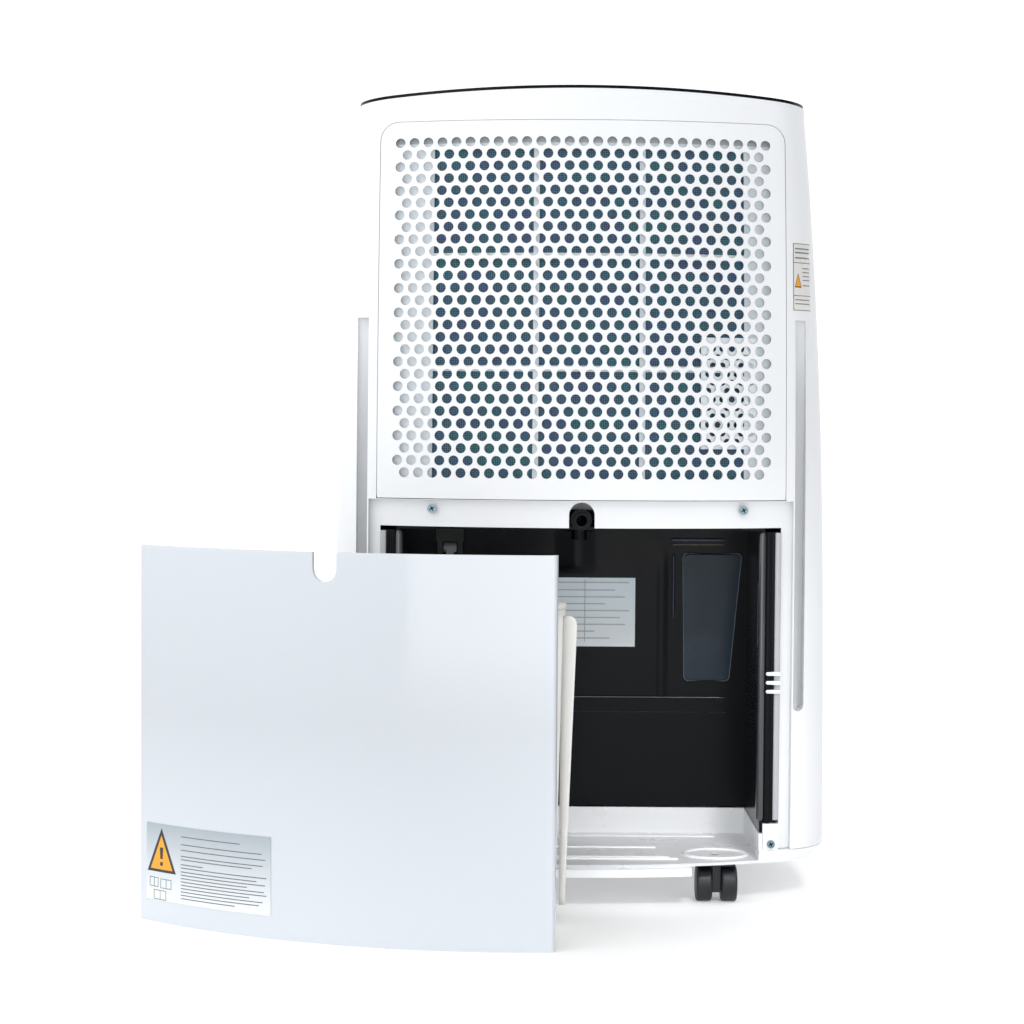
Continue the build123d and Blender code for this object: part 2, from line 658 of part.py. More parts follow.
def screw(x, y, z, radius=3.4):
    """Pan-head screw facing the rear, with a cross slot."""
    head = rod((x, y, z), (x, y + 2.4, z), radius)
    shank = rod((x, y + 2.4, z), (x, y + 12, z), 1.6)
    slots = block(x - 2.1, x + 2.1, y - 1, y + 0.9, z - 0.5, z + 0.5)
    slots = slots + block(x - 0.5, x + 0.5, y - 1, y + 0.9, z - 2.1, z + 2.1)
    return (head + shank) - slots


def face_y(x, inset):
    """Rear surface at the strip's height, pushed in by inset."""
    return REAR_Y + bow_y(x, inset)


def build_rear_screws():
    return Compound([screw(x, face_y(x, PANEL_RECESS) - 3.4, SCREW_Z) for x in SCREW_X])


def build_base_screws():
    return Compound([screw(s * 144.5, -114.5, GUIDE_SCREW_Z, 3.0) for s in (-1, 1)])


def build_rating_plate():
    return block(-34, 47, BAY_BACK - 0.5, BAY_BACK - 0.02, 183, 238)


def build_switch():
    """Lever of the tank-present switch on the bay's back wall."""
    lever = block(-104, -98, BAY_BACK - 10, BAY_BACK - 4.5, 240, 262)
    boss = rod((-106, BAY_BACK - 6, 262), (-96, BAY_BACK - 6, 262), 4.0)
    return (lever + boss) - rod((-110, BAY_BACK - 6, 262), (-90, BAY_BACK - 6, 262), 1.55)


def build_switch_box():
    box = block(-112, -90, BAY_BACK - 11, BAY_BACK, 266.8, 278)
    ears = [block(x0, x1, BAY_BACK - 9, BAY_BACK, 257, 268) for x0, x1 in ((-111, -107), (-95, -91))]
    pin = rod((-110, BAY_BACK - 6, 262), (-92, BAY_BACK - 6, 262), 1.5)
    return join([box, pin] + ears)


def build_board():
    board = block(-150, -40, 108, 109.6, 90, 250)
    return board


def build_board_parts():
    """Relay, transformer and capacitor on the control board's inner side."""
    parts = [block(-140, -108, 86, 107.8, 200, 230), block(-96, -60, 78, 107.8, 190, 232),
             rod((-120, 107.8, 140), (-120, 70, 140), 15)]
    return Compound(parts)


def build_gland():
    """Supply cord gland low on the right side; the cord itself is left off."""
    x = half_width(GLAND_Z)
    return tube((x - 6, GLAND_Y, GLAND_Z), (x + 3.5, GLAND_Y, GLAND_Z), 11, 5)


def build_sensor_cover():
    """Perforated cover of the humidity sensor's air path, clipped on the filter frame."""
    plate = (cabinet(4.0) - cabinet(6.0)) & block(88, 131, -200, -40, 343, 426)
    centres = [(93.5 + 7.2 * column + 3.6 * (row % 2), 348.5 + 6.3 * row)
               for row in range(12) for column in range(5)]
    plane = Plane(origin=(0, -60, 0), x_dir=(1, 0, 0), z_dir=(0, -1, 0))
    return plate - extrude(plane * Sketch([Pos(x, z) * Circle(2.3) for x, z in centres]), 100)


def floor_middle(shapes):
    """Middle, in plan, of the box round the whole set; every STEP is measured from it."""
    box = Compound([s for shape in shapes for s in shape.solids()]).bounding_box()
    return (box.min.X + box.max.X) / 2, (box.min.Y + box.max.Y) / 2


def main():
    os.makedirs("parts", exist_ok=True)
    pieces = {}
    rear, front = build_shells()
    pieces["rear_shell"] = rear
    pieces["front_shell"] = front
    pieces["top_deck"] = build_top()
    pieces["display_lens"] = build_display()
    pieces["outlet_louvre"] = build_outlet()
    pieces["outlet_flap"] = build_flap()
    for number, x in enumerate(BUTTON_X, 1):
        pieces["button_%d" % number] = build_button(x)
    pieces["rear_grille"] = build_grille()
    pieces["filter_frame"] = build_filter_frame()
    pieces["filter_mesh"] = build_filter_mesh()
    pieces["sensor_cover"] = build_sensor_cover()
    pieces["evaporator_fins"] = build_fins(-78 + 4, -52)
    pieces["evaporator_tubes"] = build_tubes(-63)
    pieces["condenser_fins"] = build_fins(-46, -20)
    pieces["condenser_tubes"] = build_tubes(-33)
    pieces["compressor"] = build_compressor()
    pieces["compressor_mounts"] = build_mounts()
    pieces["copper_lines"] = build_pipes()
    pieces["fan_scroll"] = build_scroll()
    pieces["fan_wheel"] = build_fan_wheel()
    pieces["fan_motor"] = build_motor()
    pieces["drip_tray"] = build_drip_tray()
    pieces["drain_nozzle"] = build_drain_nozzle()
    pieces["hose_spigot"] = build_spigot()
    pieces["bay_liner"] = build_liner()
    pieces["bay_columns"] = build_column()
    pieces["base_pan"] = build_base()
    pieces["tray_lip"] = build_tray_lip()
    pieces["corner_blocks"] = build_corner_blocks()
    pieces["jamb_ribs"] = build_ribs()
    pieces["rear_screws"] = build_rear_screws()
    pieces["base_screws"] = build_base_screws()
    pieces["rating_plate"] = build_rating_plate()
    pieces["switch_box"] = build_switch_box()
    pieces["tank_switch"] = build_switch()
    pieces["control_board"] = build_board()
    pieces["board_parts"] = build_board_parts()
    pieces["cord_gland"] = build_gland()
    names = ("rear_left", "rear_right", "front_left", "front_right")
    for name, (x, y) in zip(names, castor_places()):
        pieces["castor_fork_" + name] = build_fork(x, y)
        pieces["castor_wheels_" + name] = build_wheels(x, y)
    pieces["tank_panel"] = PLACE * build_tank_panel()
    pieces["tank_bucket"] = PLACE * build_bucket()
    pieces["tank_bridge"] = PLACE * build_bridge()
    pieces["tank_lid"] = PLACE * build_lid()
    pieces["tank_handle"] = PLACE * build_handle()
    pieces["tank_float"] = PLACE * build_float()
    pieces["float_bracket"] = PLACE * build_float_bracket()
    pieces["tank_sticker"] = PLACE * build_sticker()
    middle = floor_middle(pieces.values())
    for node, shape in pieces.items():
        write(node, Pos(-middle[0], -middle[1], 0) * shape)


if __name__ == "__main__":
    main()
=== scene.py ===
import math

import bpy
import numpy as np
from bpy.props import FloatProperty, FloatVectorProperty, IntProperty, PointerProperty
from mathutils import Matrix, Vector
from mathutils.bvhtree import BVHTree


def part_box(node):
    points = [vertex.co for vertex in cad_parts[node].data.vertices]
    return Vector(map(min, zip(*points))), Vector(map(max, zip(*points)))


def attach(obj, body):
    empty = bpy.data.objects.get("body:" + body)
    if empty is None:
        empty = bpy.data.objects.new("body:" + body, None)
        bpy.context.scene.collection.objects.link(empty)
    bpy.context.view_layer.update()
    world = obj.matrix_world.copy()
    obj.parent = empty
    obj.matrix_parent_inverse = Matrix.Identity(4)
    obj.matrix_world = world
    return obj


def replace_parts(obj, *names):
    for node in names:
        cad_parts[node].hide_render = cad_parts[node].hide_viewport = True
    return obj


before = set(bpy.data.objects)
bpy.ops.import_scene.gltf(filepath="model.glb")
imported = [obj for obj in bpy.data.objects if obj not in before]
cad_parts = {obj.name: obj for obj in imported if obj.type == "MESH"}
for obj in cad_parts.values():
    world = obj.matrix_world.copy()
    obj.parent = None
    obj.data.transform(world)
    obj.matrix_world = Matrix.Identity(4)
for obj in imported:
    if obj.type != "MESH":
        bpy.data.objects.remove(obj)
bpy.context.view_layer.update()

bl_info = {
    "name": "Dehumidifier finish",
    "version": (1, 0, 0),
    "blender": (4, 5, 0),
    "location": "3D View > Sidebar > Dehumidifier",
    "description": "Finishes, fine pieces and stage for a dehumidifier with its tank drawn out",
    "category": "Object",
}

# The cabinet's own middle, where its pieces are laid out from.
CABINET_X = (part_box("base_pan")[0][0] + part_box("base_pan")[1][0]) / 2
CABINET_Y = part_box("front_shell")[1][1] - 0.140
CROWN_RADIUS = 1.85                         # cross radius of the deck's top
BASE_FLOOR = 0.0336                         # height of the tray's floor
TANK_YAW = math.radians(19.0)
PANEL_RADIUS = 0.415                        # bow of the tank panel
PANEL_HALF, PANEL_TOP = 0.158, 0.272
NOTCH, NOTCH_FOOT = 0.009, 0.2605           # half width, and where its round part starts
LABEL_LEFT, LABEL_RIGHT = -0.1512, -0.0405  # tank label, across the panel


def find_apex():
    """Foot of the tank panel's middle line: its box, less the turned panel's own extents."""
    across = np.linspace(-PANEL_HALF, PANEL_HALF, 801)
    depth = PANEL_RADIUS - np.sqrt(PANEL_RADIUS ** 2 - across ** 2)
    c, s = math.cos(TANK_YAW), math.sin(TANK_YAW)
    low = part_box("tank_panel")[0]
    return low[0] - (c * across + s * depth).min(), low[1] - (c * depth - s * across).min()


TANK_APEX = find_apex()
BAY_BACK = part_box("bay_liner")[1][1] - 0.0022


# --- settings --------------------------------------------------------------------

class CabinetSettings(bpy.types.PropertyGroup):
    """Finish of the white cabinet and the black parts."""
    shell: FloatVectorProperty(
        name="Shell", description="White of the cabinet", subtype="COLOR", size=3,
        min=0, max=1, default=(0.80, 0.81, 0.825))
    shell_roughness: FloatProperty(
        name="Shell roughness", description="How satin the cabinet is", min=0, max=1, default=0.36)
    # Painted reflection: the black's slight blue tint stands in for bluish reflections on the glossy
    # lining, laid over its real black.
    black: FloatVectorProperty(
        name="Black", description="Black of the bay lining and the deck", subtype="COLOR", size=3,
        min=0, max=1, default=(0.0034, 0.0043, 0.0062))
    black_roughness: FloatProperty(
        name="Black roughness", description="Gloss of the bay lining", min=0, max=1, default=0.22)
    mesh: FloatVectorProperty(
        name="Filter mesh", description="Grey of the filter's weave", subtype="COLOR", size=3,
        min=0, max=1, default=(0.10, 0.165, 0.21))


class TankSettings(bpy.types.PropertyGroup):
    """Finish and build of the water tank."""
    panel: FloatVectorProperty(
        name="Panel", description="Cool white of the bowed panel", subtype="COLOR", size=3,
        min=0, max=1, default=(0.535, 0.565, 0.60))
    bucket: FloatVectorProperty(
        name="Bucket", description="Milky beige of the bucket", subtype="COLOR", size=3,
        min=0, max=1, default=(0.86, 0.85, 0.82))
    edge_radius: FloatProperty(
        name="Edge radius", description="Rounding of the panel's side edges", subtype="DISTANCE",
        unit="LENGTH", min=0.0005, max=0.004, default=0.0022)
    columns: IntProperty(
        name="Columns", description="Grid columns across half the panel", min=8, max=120, default=48)


class StageSettings(bpy.types.PropertyGroup):
    """Camera, lights and floor."""
    stand: FloatVectorProperty(
        name="Camera", description="Camera's place from the cabinet's middle on the floor",
        subtype="XYZ", unit="LENGTH", size=3, default=(-0.0486, -1.9065, 0.366))
    pitch: FloatProperty(
        name="Pitch", description="Downward tilt", subtype="ANGLE", default=math.radians(2.27))
    roll: FloatProperty(
        name="Roll", description="Turn about the line of sight", subtype="ANGLE",
        default=math.radians(0.405))
    lens: FloatProperty(
        name="Lens", description="Focal length in millimetres", min=20, max=300, default=84.4)
    key: FloatProperty(
        name="Key light", description="Power of the large soft box", min=0, default=14.0)
    ambient: FloatProperty(
        name="Ambient", description="Strength of the studio's surroundings", min=0, default=1.0)
    bay: FloatProperty(
        name="Bay spot", description="Power of the soft spot on the tray", min=0, default=40.0)
    glow: FloatProperty(
        name="Floor glow", description="Light of the table under the object", min=0, default=0.17)
    floor: FloatVectorProperty(
        name="Floor", description="Pale floor", subtype="COLOR", size=3, min=0, max=1,
        default=(0.9, 0.9, 0.9))


# --- node helpers ------------------------------------------------------------------

def start(name):
    """New node material: returns it, its tree, its shader and the object-space place."""
    material = bpy.data.materials.new(name)
    material.use_nodes = True
    tree = material.node_tree
    place = tree.nodes.new("ShaderNodeTexCoord").outputs["Object"]
    return material, tree, tree.nodes["Principled BSDF"], place


def put(tree, kind, inputs=None, **settings):
    """Add a node, set its properties, and link or set its inputs."""
    node = tree.nodes.new("ShaderNode" + kind)
    for key, value in settings.items():
        setattr(node, key, value)
    for key, value in (inputs or {}).items():
        if isinstance(value, bpy.types.NodeSocket):
            tree.links.new(value, node.inputs[key])
        else:
            node.inputs[key].default_value = value
    return node


def sums(tree, operation, *values):
    """Math node over numbers or sockets."""
    node = put(tree, "Math", operation=operation)
    for socket, value in zip(node.inputs, values):
        if isinstance(value, bpy.types.NodeSocket):
            tree.links.new(value, socket)
        else:
            socket.default_value = value
    return node.outputs[0]


def noise(tree, place, scale, detail=3.0, roughness=0.5):
    """Cloud noise with this many features per metre."""
    return put(tree, "TexNoise", {"Vector": place, "Scale": scale, "Detail": detail,
                                  "Roughness": roughness}).outputs["Fac"]


def blend_colours(tree, factor, first, second):
    """Colour from first to second by a 0 to 1 factor."""
    node = put(tree, "Mix", data_type="RGBA")
    tree.links.new(factor, node.inputs[0])
    for socket, value in ((node.inputs[6], first), (node.inputs[7], second)):
        if isinstance(value, bpy.types.NodeSocket):
            tree.links.new(value, socket)
        else:
            socket.default_value = (*value[:3], 1)
    return node.outputs[2]


def span(tree, value, low, high, to_low, to_high):
    """Map a value from one range to another."""
    return put(tree, "MapRange", {"Value": value, "From Min": low, "From Max": high,
                                  "To Min": to_low, "To Max": to_high}).outputs[0]


def roughen(tree, shader, height, strength, distance):
    """Drive the shader's normal with a height."""
    bump = put(tree, "Bump", {"Height": height, "Strength": strength, "Distance": distance})
    tree.links.new(bump.outputs[0], shader.inputs["Normal"])


def tinted(colour, factor):
    """Colour times a factor, kept within 0 to 1."""
    return tuple(min(max(c * factor, 0.0), 1.0) for c in colour)


# --- materials -----------------------------------------------------------------------

def moulded(name, colour, roughness, grain=900.0, depth=0.15, coat=0.0, drift=0.04):
    """Injection-moulded plastic: fine spark grain, slow colour drift and uneven gloss."""
    material, tree, shader, place = start(name)
    slow = noise(tree, place, 9.0)
    colour_out = blend_colours(tree, slow, tinted(colour, 1 - drift), tinted(colour, 1 + drift))
    tree.links.new(colour_out, shader.inputs["Base Color"])
    patch = noise(tree, place, 34.0, 4.0)
    tree.links.new(span(tree, patch, 0.3, 0.7, roughness * 0.85, roughness * 1.15),
                   shader.inputs["Roughness"])
    roughen(tree, shader, noise(tree, place, grain, 2.0), depth, 0.0002)
    shader.inputs["Coat Weight"].default_value = coat
    shader.inputs["Coat Roughness"].default_value = 0.08
    shader.inputs["IOR"].default_value = 1.5
    return material


def metal(name, colour, roughness, scale=(300.0, 300.0, 12.0)):
    """Drawn or plated metal with fine lines along Z."""
    material, tree, shader, place = start(name)
    stretched = put(tree, "Mapping", {"Vector": place, "Scale": scale}).outputs[0]
    lines = noise(tree, stretched, 1.0, 4.0)
    tree.links.new(blend_colours(tree, lines, tinted(colour, 0.85), tinted(colour, 1.15)),
                   shader.inputs["Base Color"])
    tree.links.new(span(tree, lines, 0.2, 0.8, roughness * 0.8, roughness * 1.3),
                   shader.inputs["Roughness"])
    shader.inputs["Metallic"].default_value = 1.0
    roughen(tree, shader, lines, 0.12, 0.0002)
    return material


def weave(name, colour):
    """Filter mesh: two crossed sets of round threads with dark gaps."""
    material, tree, shader, place = start(name)
    axes = put(tree, "SeparateXYZ", {"Vector": place})
    threads = []
    for axis in ("X", "Z"):
        wave = sums(tree, "SINE", sums(tree, "MULTIPLY", axes.outputs[axis], 2 * math.pi / 0.0016))
        threads.append(span(tree, wave, -1, 1, 0, 1))
    raised = sums(tree, "MAXIMUM", *threads)
    patch = span(tree, noise(tree, place, 45.0), 0.35, 0.65, 0, 1)
    dyed = blend_colours(tree, patch, (colour[0] * 1.5, colour[1] * 1.3, colour[2] * 1.8),
                         (colour[0] * 1.1, colour[1] * 1.8, colour[2] * 1.6))
    tree.links.new(blend_colours(tree, raised, tinted(colour, 0.12), dyed),
                   shader.inputs["Base Color"])
    shader.inputs["Roughness"].default_value = 0.7
    roughen(tree, shader, raised, 0.5, 0.0004)
    return material


def milky(name, colour):
    """Milky moulded bucket: light spreads under the surface, with soft flow marks."""
    material, tree, shader, place = start(name)
    stretched = put(tree, "Mapping", {"Vector": place, "Scale": (6.0, 6.0, 26.0)}).outputs[0]
    flow = noise(tree, stretched, 1.0, 3.0)
    tree.links.new(blend_colours(tree, flow, tinted(colour, 0.985), tinted(colour, 1.015)),
                   shader.inputs["Base Color"])
    tree.links.new(span(tree, flow, 0.2, 0.8, 0.29, 0.33), shader.inputs["Roughness"])
    shader.inputs["Subsurface Weight"].default_value = 0.15
    shader.inputs["Subsurface Radius"].default_value = (0.01, 0.009, 0.007)
    shader.inputs["Subsurface Scale"].default_value = 1.0
    roughen(tree, shader, noise(tree, place, 700.0), 0.03, 0.0001)
    return material


def paper(name, top, foot, low, high):
    """Printed film: shade from foot to top between two heights, with a faint laid grain."""
    material, tree, shader, place = start(name)
    axes = put(tree, "SeparateXYZ", {"Vector": place})
    rise = span(tree, axes.outputs["Z"], low, high, 0.0, 1.0)
    grain = noise(tree, place, 260.0, 4.0)
    mixed = blend_colours(tree, rise, foot, top)
    tree.links.new(blend_colours(tree, span(tree, grain, 0, 1, 0.0, 0.12), mixed, (0.5, 0.5, 0.5)),
                   shader.inputs["Base Color"])
    shader.inputs["Roughness"].default_value = 0.3
    roughen(tree, shader, grain, 0.04, 0.0001)
    return material


def ink(name, colour):
    """Printed ink with slightly uneven cover."""
    material, tree, shader, place = start(name)
    cover = noise(tree, place, 1400.0, 2.0)
    tree.links.new(blend_colours(tree, cover, tinted(colour, 0.88), tinted(colour, 1.12)),
                   shader.inputs["Base Color"])
    shader.inputs["Roughness"].default_value = 0.35
    return material


def board_finish(name):
    """Circuit board: green mask with paler tracks."""
    material, tree, shader, place = start(name)
    cells = put(tree, "TexBrick", {"Vector": put(tree, "Mapping", {
        "Vector": place, "Rotation": (math.radians(90), 0, 0)}).outputs[0], "Scale": 90.0,
        "Mortar Size": 0.03, "Color1": (0.02, 0.12, 0.05, 1), "Color2": (0.03, 0.16, 0.07, 1),
        "Mortar": (0.08, 0.3, 0.14, 1)})
    tree.links.new(cells.outputs["Color"], shader.inputs["Base Color"])
    shader.inputs["Roughness"].default_value = 0.4
    return material


def smoked(name):
    """Smoked display lens."""
    return moulded(name, (0.02, 0.022, 0.026), 0.06, grain=300.0, depth=0.01, coat=0.6)


def assign(material, *nodes):
    """Give CAD nodes one material."""
    for node in nodes:
        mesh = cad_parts[node].data
        mesh.materials.clear()
        mesh.materials.append(material)


# --- mesh helpers ------------------------------------------------------------------------

def make_piece(name, points, faces, material, body, smooth=True):
    """Mesh object from arrays of points and faces, riding on a body."""
    mesh = bpy.data.meshes.new(name)
    mesh.from_pydata(np.asarray(points, float).tolist(), [], [list(f) for f in faces])
    mesh.materials.append(material)
    mesh.polygons.foreach_set("use_smooth", [smooth] * len(mesh.polygons))
    mesh.update()
    thing = bpy.data.objects.new(name, mesh)
    bpy.context.scene.collection.objects.link(thing)
    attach(thing, body)
    return thing


def grid_faces(rows, columns, first=0):
    """Quads of a rows by columns grid whose points are numbered row by row."""
    index = first + np.arange(rows * columns).reshape(rows, columns)
    quads = np.stack([index[:-1, :-1], index[:-1, 1:], index[1:, 1:], index[1:, :-1]], -1)
    return quads.reshape(-1, 4)


def ring_faces(rows, columns):
    """Quads between rings of points, each ring closed on itself, numbered ring by ring."""
    index = np.arange(rows * columns).reshape(rows, columns)
    after = np.roll(index, -1, 1)
    return np.stack([index[:-1], after[:-1], after[1:], index[1:]], -1).reshape(-1, 4)


def capped_faces(rows, columns):
    """Ring faces with a flat cap on the first and the last ring."""
    first, last = np.arange(columns), np.arange((rows - 1) * columns, rows * columns)
    return ring_faces(rows, columns).tolist() + [first[::-1].tolist(), last.tolist()]


def to_tank(points):
    """From the tank's own axes (x across, y in, z up, apex at the origin) to the row frame."""
    points = np.asarray(points, float)
    c, s = math.cos(-TANK_YAW), math.sin(-TANK_YAW)
    x = TANK_APEX[0] + c * points[..., 0] - s * points[..., 1]
    y = TANK_APEX[1] + s * points[..., 0] + c * points[..., 1]
    return np.stack([x, y, points[..., 2]], -1)


def bow(x):
    """Depth of the bowed face behind its apex: R - sqrt(R^2 - x^2)."""
    return PANEL_RADIUS - np.sqrt(PANEL_RADIUS ** 2 - np.asarray(x) ** 2)


def cast_to(node, xs, zs, lift):
    """Points on a CAD node's rear side under each (x, z), lifted towards -Y."""
    graph = bpy.context.evaluated_depsgraph_get()
    tree = BVHTree.FromObject(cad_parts[node], graph)
    places = []
    for x, z in zip(np.ravel(xs), np.ravel(zs)):
        hit = tree.ray_cast(Vector((x, -2.0, z)), Vector((0, 1, 0)))[0]
        if hit is None:
            raise RuntimeError("no surface of %s at %.3f, %.3f" % (node, x, z))
        places.append((x, hit.y - lift, z))
    return np.array(places).reshape(*np.shape(xs), 3)


# --- operators -------------------------------------------------------------------------------

class FinishCabinet(bpy.types.Operator):
    """Give the cabinet's shells, deck and base their moulded finishes"""
    bl_idname = "dehumidifier.finish_cabinet"
    bl_label = "Cabinet finishes"

    def execute(self, context):
        look = context.scene.dehumidifier_cabinet
        shell = moulded("shell_white", tuple(look.shell), look.shell_roughness)
        trim = moulded("trim_white", (0.86, 0.91, 0.94), look.shell_roughness * 0.8, depth=0.08)
        black = moulded("gloss_black", tuple(look.black), look.black_roughness, grain=500.0,
                        depth=0.05)
        black.node_tree.nodes["Principled BSDF"].inputs["Specular IOR Level"].default_value = 0.11
        matt = moulded("matt_black", tinted(look.black, 1.6), 0.5, depth=0.3)
        assign(shell, "rear_shell", "front_shell", "rear_grille")
        # Painted light: the base and tray take the shell's white made 1.14 times lighter, to brighten
        # the shaded tray.
        base = moulded("base_white_painted_light", tinted(look.shell, 1.14), 0.3, depth=0.08)
        assign(base, "base_pan", "tray_lip")
        assign(trim, "filter_frame", "sensor_cover", "corner_blocks", "jamb_ribs", "drip_tray")
        assign(black, "top_deck", "bay_liner", "bay_columns", "hose_spigot", "drain_nozzle",
               "outlet_flap")
        castors = [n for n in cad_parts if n.startswith("castor_")]
        assign(matt, "outlet_louvre", "switch_box", "cord_gland", "fan_scroll", "fan_wheel", *castors)
        assign(moulded("grey_key", (0.25, 0.26, 0.27), 0.4), "button_1", "button_2", "button_3",
               "button_4", "tank_switch")
        assign(smoked("display_glass"), "display_lens")
        assign(weave("filter_weave", tuple(look.mesh)), "filter_mesh")
        assign(metal("screw_steel", (0.20, 0.28, 0.31), 0.32), "rear_screws", "base_screws")
        return {"FINISHED"}


class FinishWorks(bpy.types.Operator):
    """Give the refrigeration circuit, fan and board their finishes"""
    bl_idname = "dehumidifier.finish_works"
    bl_label = "Inner works finishes"

    def execute(self, context):
        assign(metal("fin_stock", (0.10, 0.13, 0.14), 0.4), "evaporator_fins", "condenser_fins")
        assign(metal("copper_tube", (0.72, 0.36, 0.2), 0.3), "evaporator_tubes", "condenser_tubes",
               "copper_lines")
        assign(moulded("compressor_enamel", (0.012, 0.012, 0.013), 0.3, coat=0.4), "compressor")
        assign(moulded("mount_rubber", (0.02, 0.02, 0.02), 0.8), "compressor_mounts")
        assign(metal("motor_zinc", (0.55, 0.57, 0.58), 0.4), "fan_motor")
        assign(board_finish("circuit_board"), "control_board")
        assign(moulded("relay_plastic", (0.03, 0.03, 0.04), 0.4), "board_parts")
        return {"FINISHED"}


class BuildTankPanel(bpy.types.Operator):
    """Bowed tank panel with rounded side edges and the hose notch"""
    bl_idname = "dehumidifier.build_tank_panel"
    bl_label = "Tank panel"

    def execute(self, context):
        look = context.scene.dehumidifier_tank
        half, edge = PANEL_HALF, look.edge_radius
        across = np.concatenate([-np.linspace(half - edge, NOTCH, look.columns),
                                 np.linspace(-NOTCH, NOTCH, 21)[1:-1],
                                 np.linspace(NOTCH, half - edge, look.columns)])
        lean = np.arcsin((half - edge) / PANEL_RADIUS)
        turn = np.linspace(0, math.pi / 2 - lean * 0.2, 8)[1:]
        curl_x = half - edge + edge * np.sin(turn)
        curl_y = bow(half - edge) + edge * (1 - np.cos(turn))
        back_x = np.full(3, curl_x[-1])
        back_y = curl_y[-1] + np.array([0.0012, 0.0024, 0.0034])
        xs = np.concatenate([-back_x[::-1], -curl_x[::-1], across, curl_x, back_x])
        ys = np.concatenate([back_y[::-1], curl_y[::-1], bow(across), curl_y, back_y])
        top = np.where(np.abs(across) < NOTCH - 1e-9,
                       NOTCH_FOOT - np.sqrt(np.maximum(NOTCH ** 2 - across ** 2, 0)), NOTCH_FOOT)
        pad = len(curl_x) + len(back_x)
        top = np.concatenate([np.full(pad, NOTCH_FOOT), top, np.full(pad, NOTCH_FOOT)])
        below, above = 40, 4
        heights = np.concatenate([
            np.linspace(0, 1, below)[:, None] * top,
            np.repeat(np.linspace(NOTCH_FOOT, PANEL_TOP, above + 1)[1:, None], len(xs), 1)])
        points = np.stack(np.broadcast_arrays(xs, ys, heights), -1).reshape(-1, 3)
        faces = grid_faces(below + above, len(xs))
        middle = points[faces].mean(1)
        keep = ~((np.abs(middle[:, 0]) < NOTCH) & (faces.min(1) >= (below - 1) * len(xs)))
        faces = faces[keep]
        used = np.unique(faces)
        order = np.full(len(points), -1)
        order[used] = np.arange(len(used))
        gloss = moulded("tank_gloss", tuple(look.panel), 0.12, grain=120.0, depth=0.01, coat=0.5,
                        drift=0.01)
        tree = gloss.node_tree
        shader = tree.nodes["Principled BSDF"]
        axes = put(tree, "SeparateXYZ", {"Vector": tree.nodes["Texture Coordinate"].outputs["Object"]})
        # Painted light: the panel's colour turns to a 1.24 times lighter copy towards its foot,
        # standing in for the floor's reflection, and partly towards its top, standing in for the light
        # falling there.
        foot = span(tree, axes.outputs["Z"], 0.0, 0.15, 1.0, 0.0)
        top_painted_light = span(tree, axes.outputs["Z"], 0.16, PANEL_TOP, 0.0, 0.35)
        under = shader.inputs["Base Color"].links[0].from_socket
        tree.links.new(blend_colours(tree, sums(tree, "MAXIMUM", foot, top_painted_light), under,
                                     tinted(look.panel, 1.24)), shader.inputs["Base Color"])
        panel = make_piece("tank_panel_skin", to_tank(points[used]), order[faces], gloss, "tank")
        wall = panel.modifiers.new("wall", "SOLIDIFY")
        wall.thickness = 0.0028
        wall.offset = -1
        round_off = panel.modifiers.new("edges", "BEVEL")
        round_off.width = 0.0008
        round_off.segments = 3
        round_off.limit_method = "ANGLE"
        round_off.angle_limit = math.radians(50)
        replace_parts(panel, "tank_panel")
        return {"FINISHED"}


class FinishTank(bpy.types.Operator):
    """Finish the bucket, cover, handle and float"""
    bl_idname = "dehumidifier.finish_tank"
    bl_label = "Tank finishes"

    def execute(self, context):
        look = context.scene.dehumidifier_tank
        assign(milky("bucket_milky", tuple(look.bucket)), "tank_bucket", "tank_bridge", "tank_lid")
        assign(moulded("handle_grey", (0.45, 0.46, 0.47), 0.35), "tank_handle", "float_bracket")
        assign(moulded("float_foam", (0.8, 0.8, 0.78), 0.9, grain=400, depth=0.5), "tank_float")
        return {"FINISHED"}


def flat_shapes(shapes):
    """Points and faces of outlines in (x, z), each divided into strips so that it can bend."""
    points, faces = [], []
    for corners in shapes:
        corners = np.asarray(corners, float)
        if len(corners) == 3:
            corners = np.vstack([corners, corners[-1:]])
        u = np.linspace(0, 1, 9)[:, None, None]
        v = np.linspace(0, 1, 3)[None, :, None]
        a, b, c, d = corners
        patch = (1 - u) * ((1 - v) * a + v * d) + u * ((1 - v) * b + v * c)
        faces.append(grid_faces(9, 3, sum(len(p) for p in points)))
        points.append(patch.reshape(-1, 2))
    return np.concatenate(points), np.concatenate(faces)


def bars(x0, x1, tops, height, ends=None):
    """Printed lines as thin rectangles from x0 to x1 at each top height."""
    ends = ends or [x1] * len(tops)
    return [[(x0, t), (e, t), (e, t - height), (x0, t - height)] for t, e in zip(tops, ends)]


def on_tank(shapes, lift):
    """Outlines on the bowed tank panel, lifted off its face."""
    flat, faces = flat_shapes(shapes)
    points = np.stack([flat[:, 0], bow(flat[:, 0]) - lift, flat[:, 1]], -1)
    return to_tank(points), faces[:, ::-1]


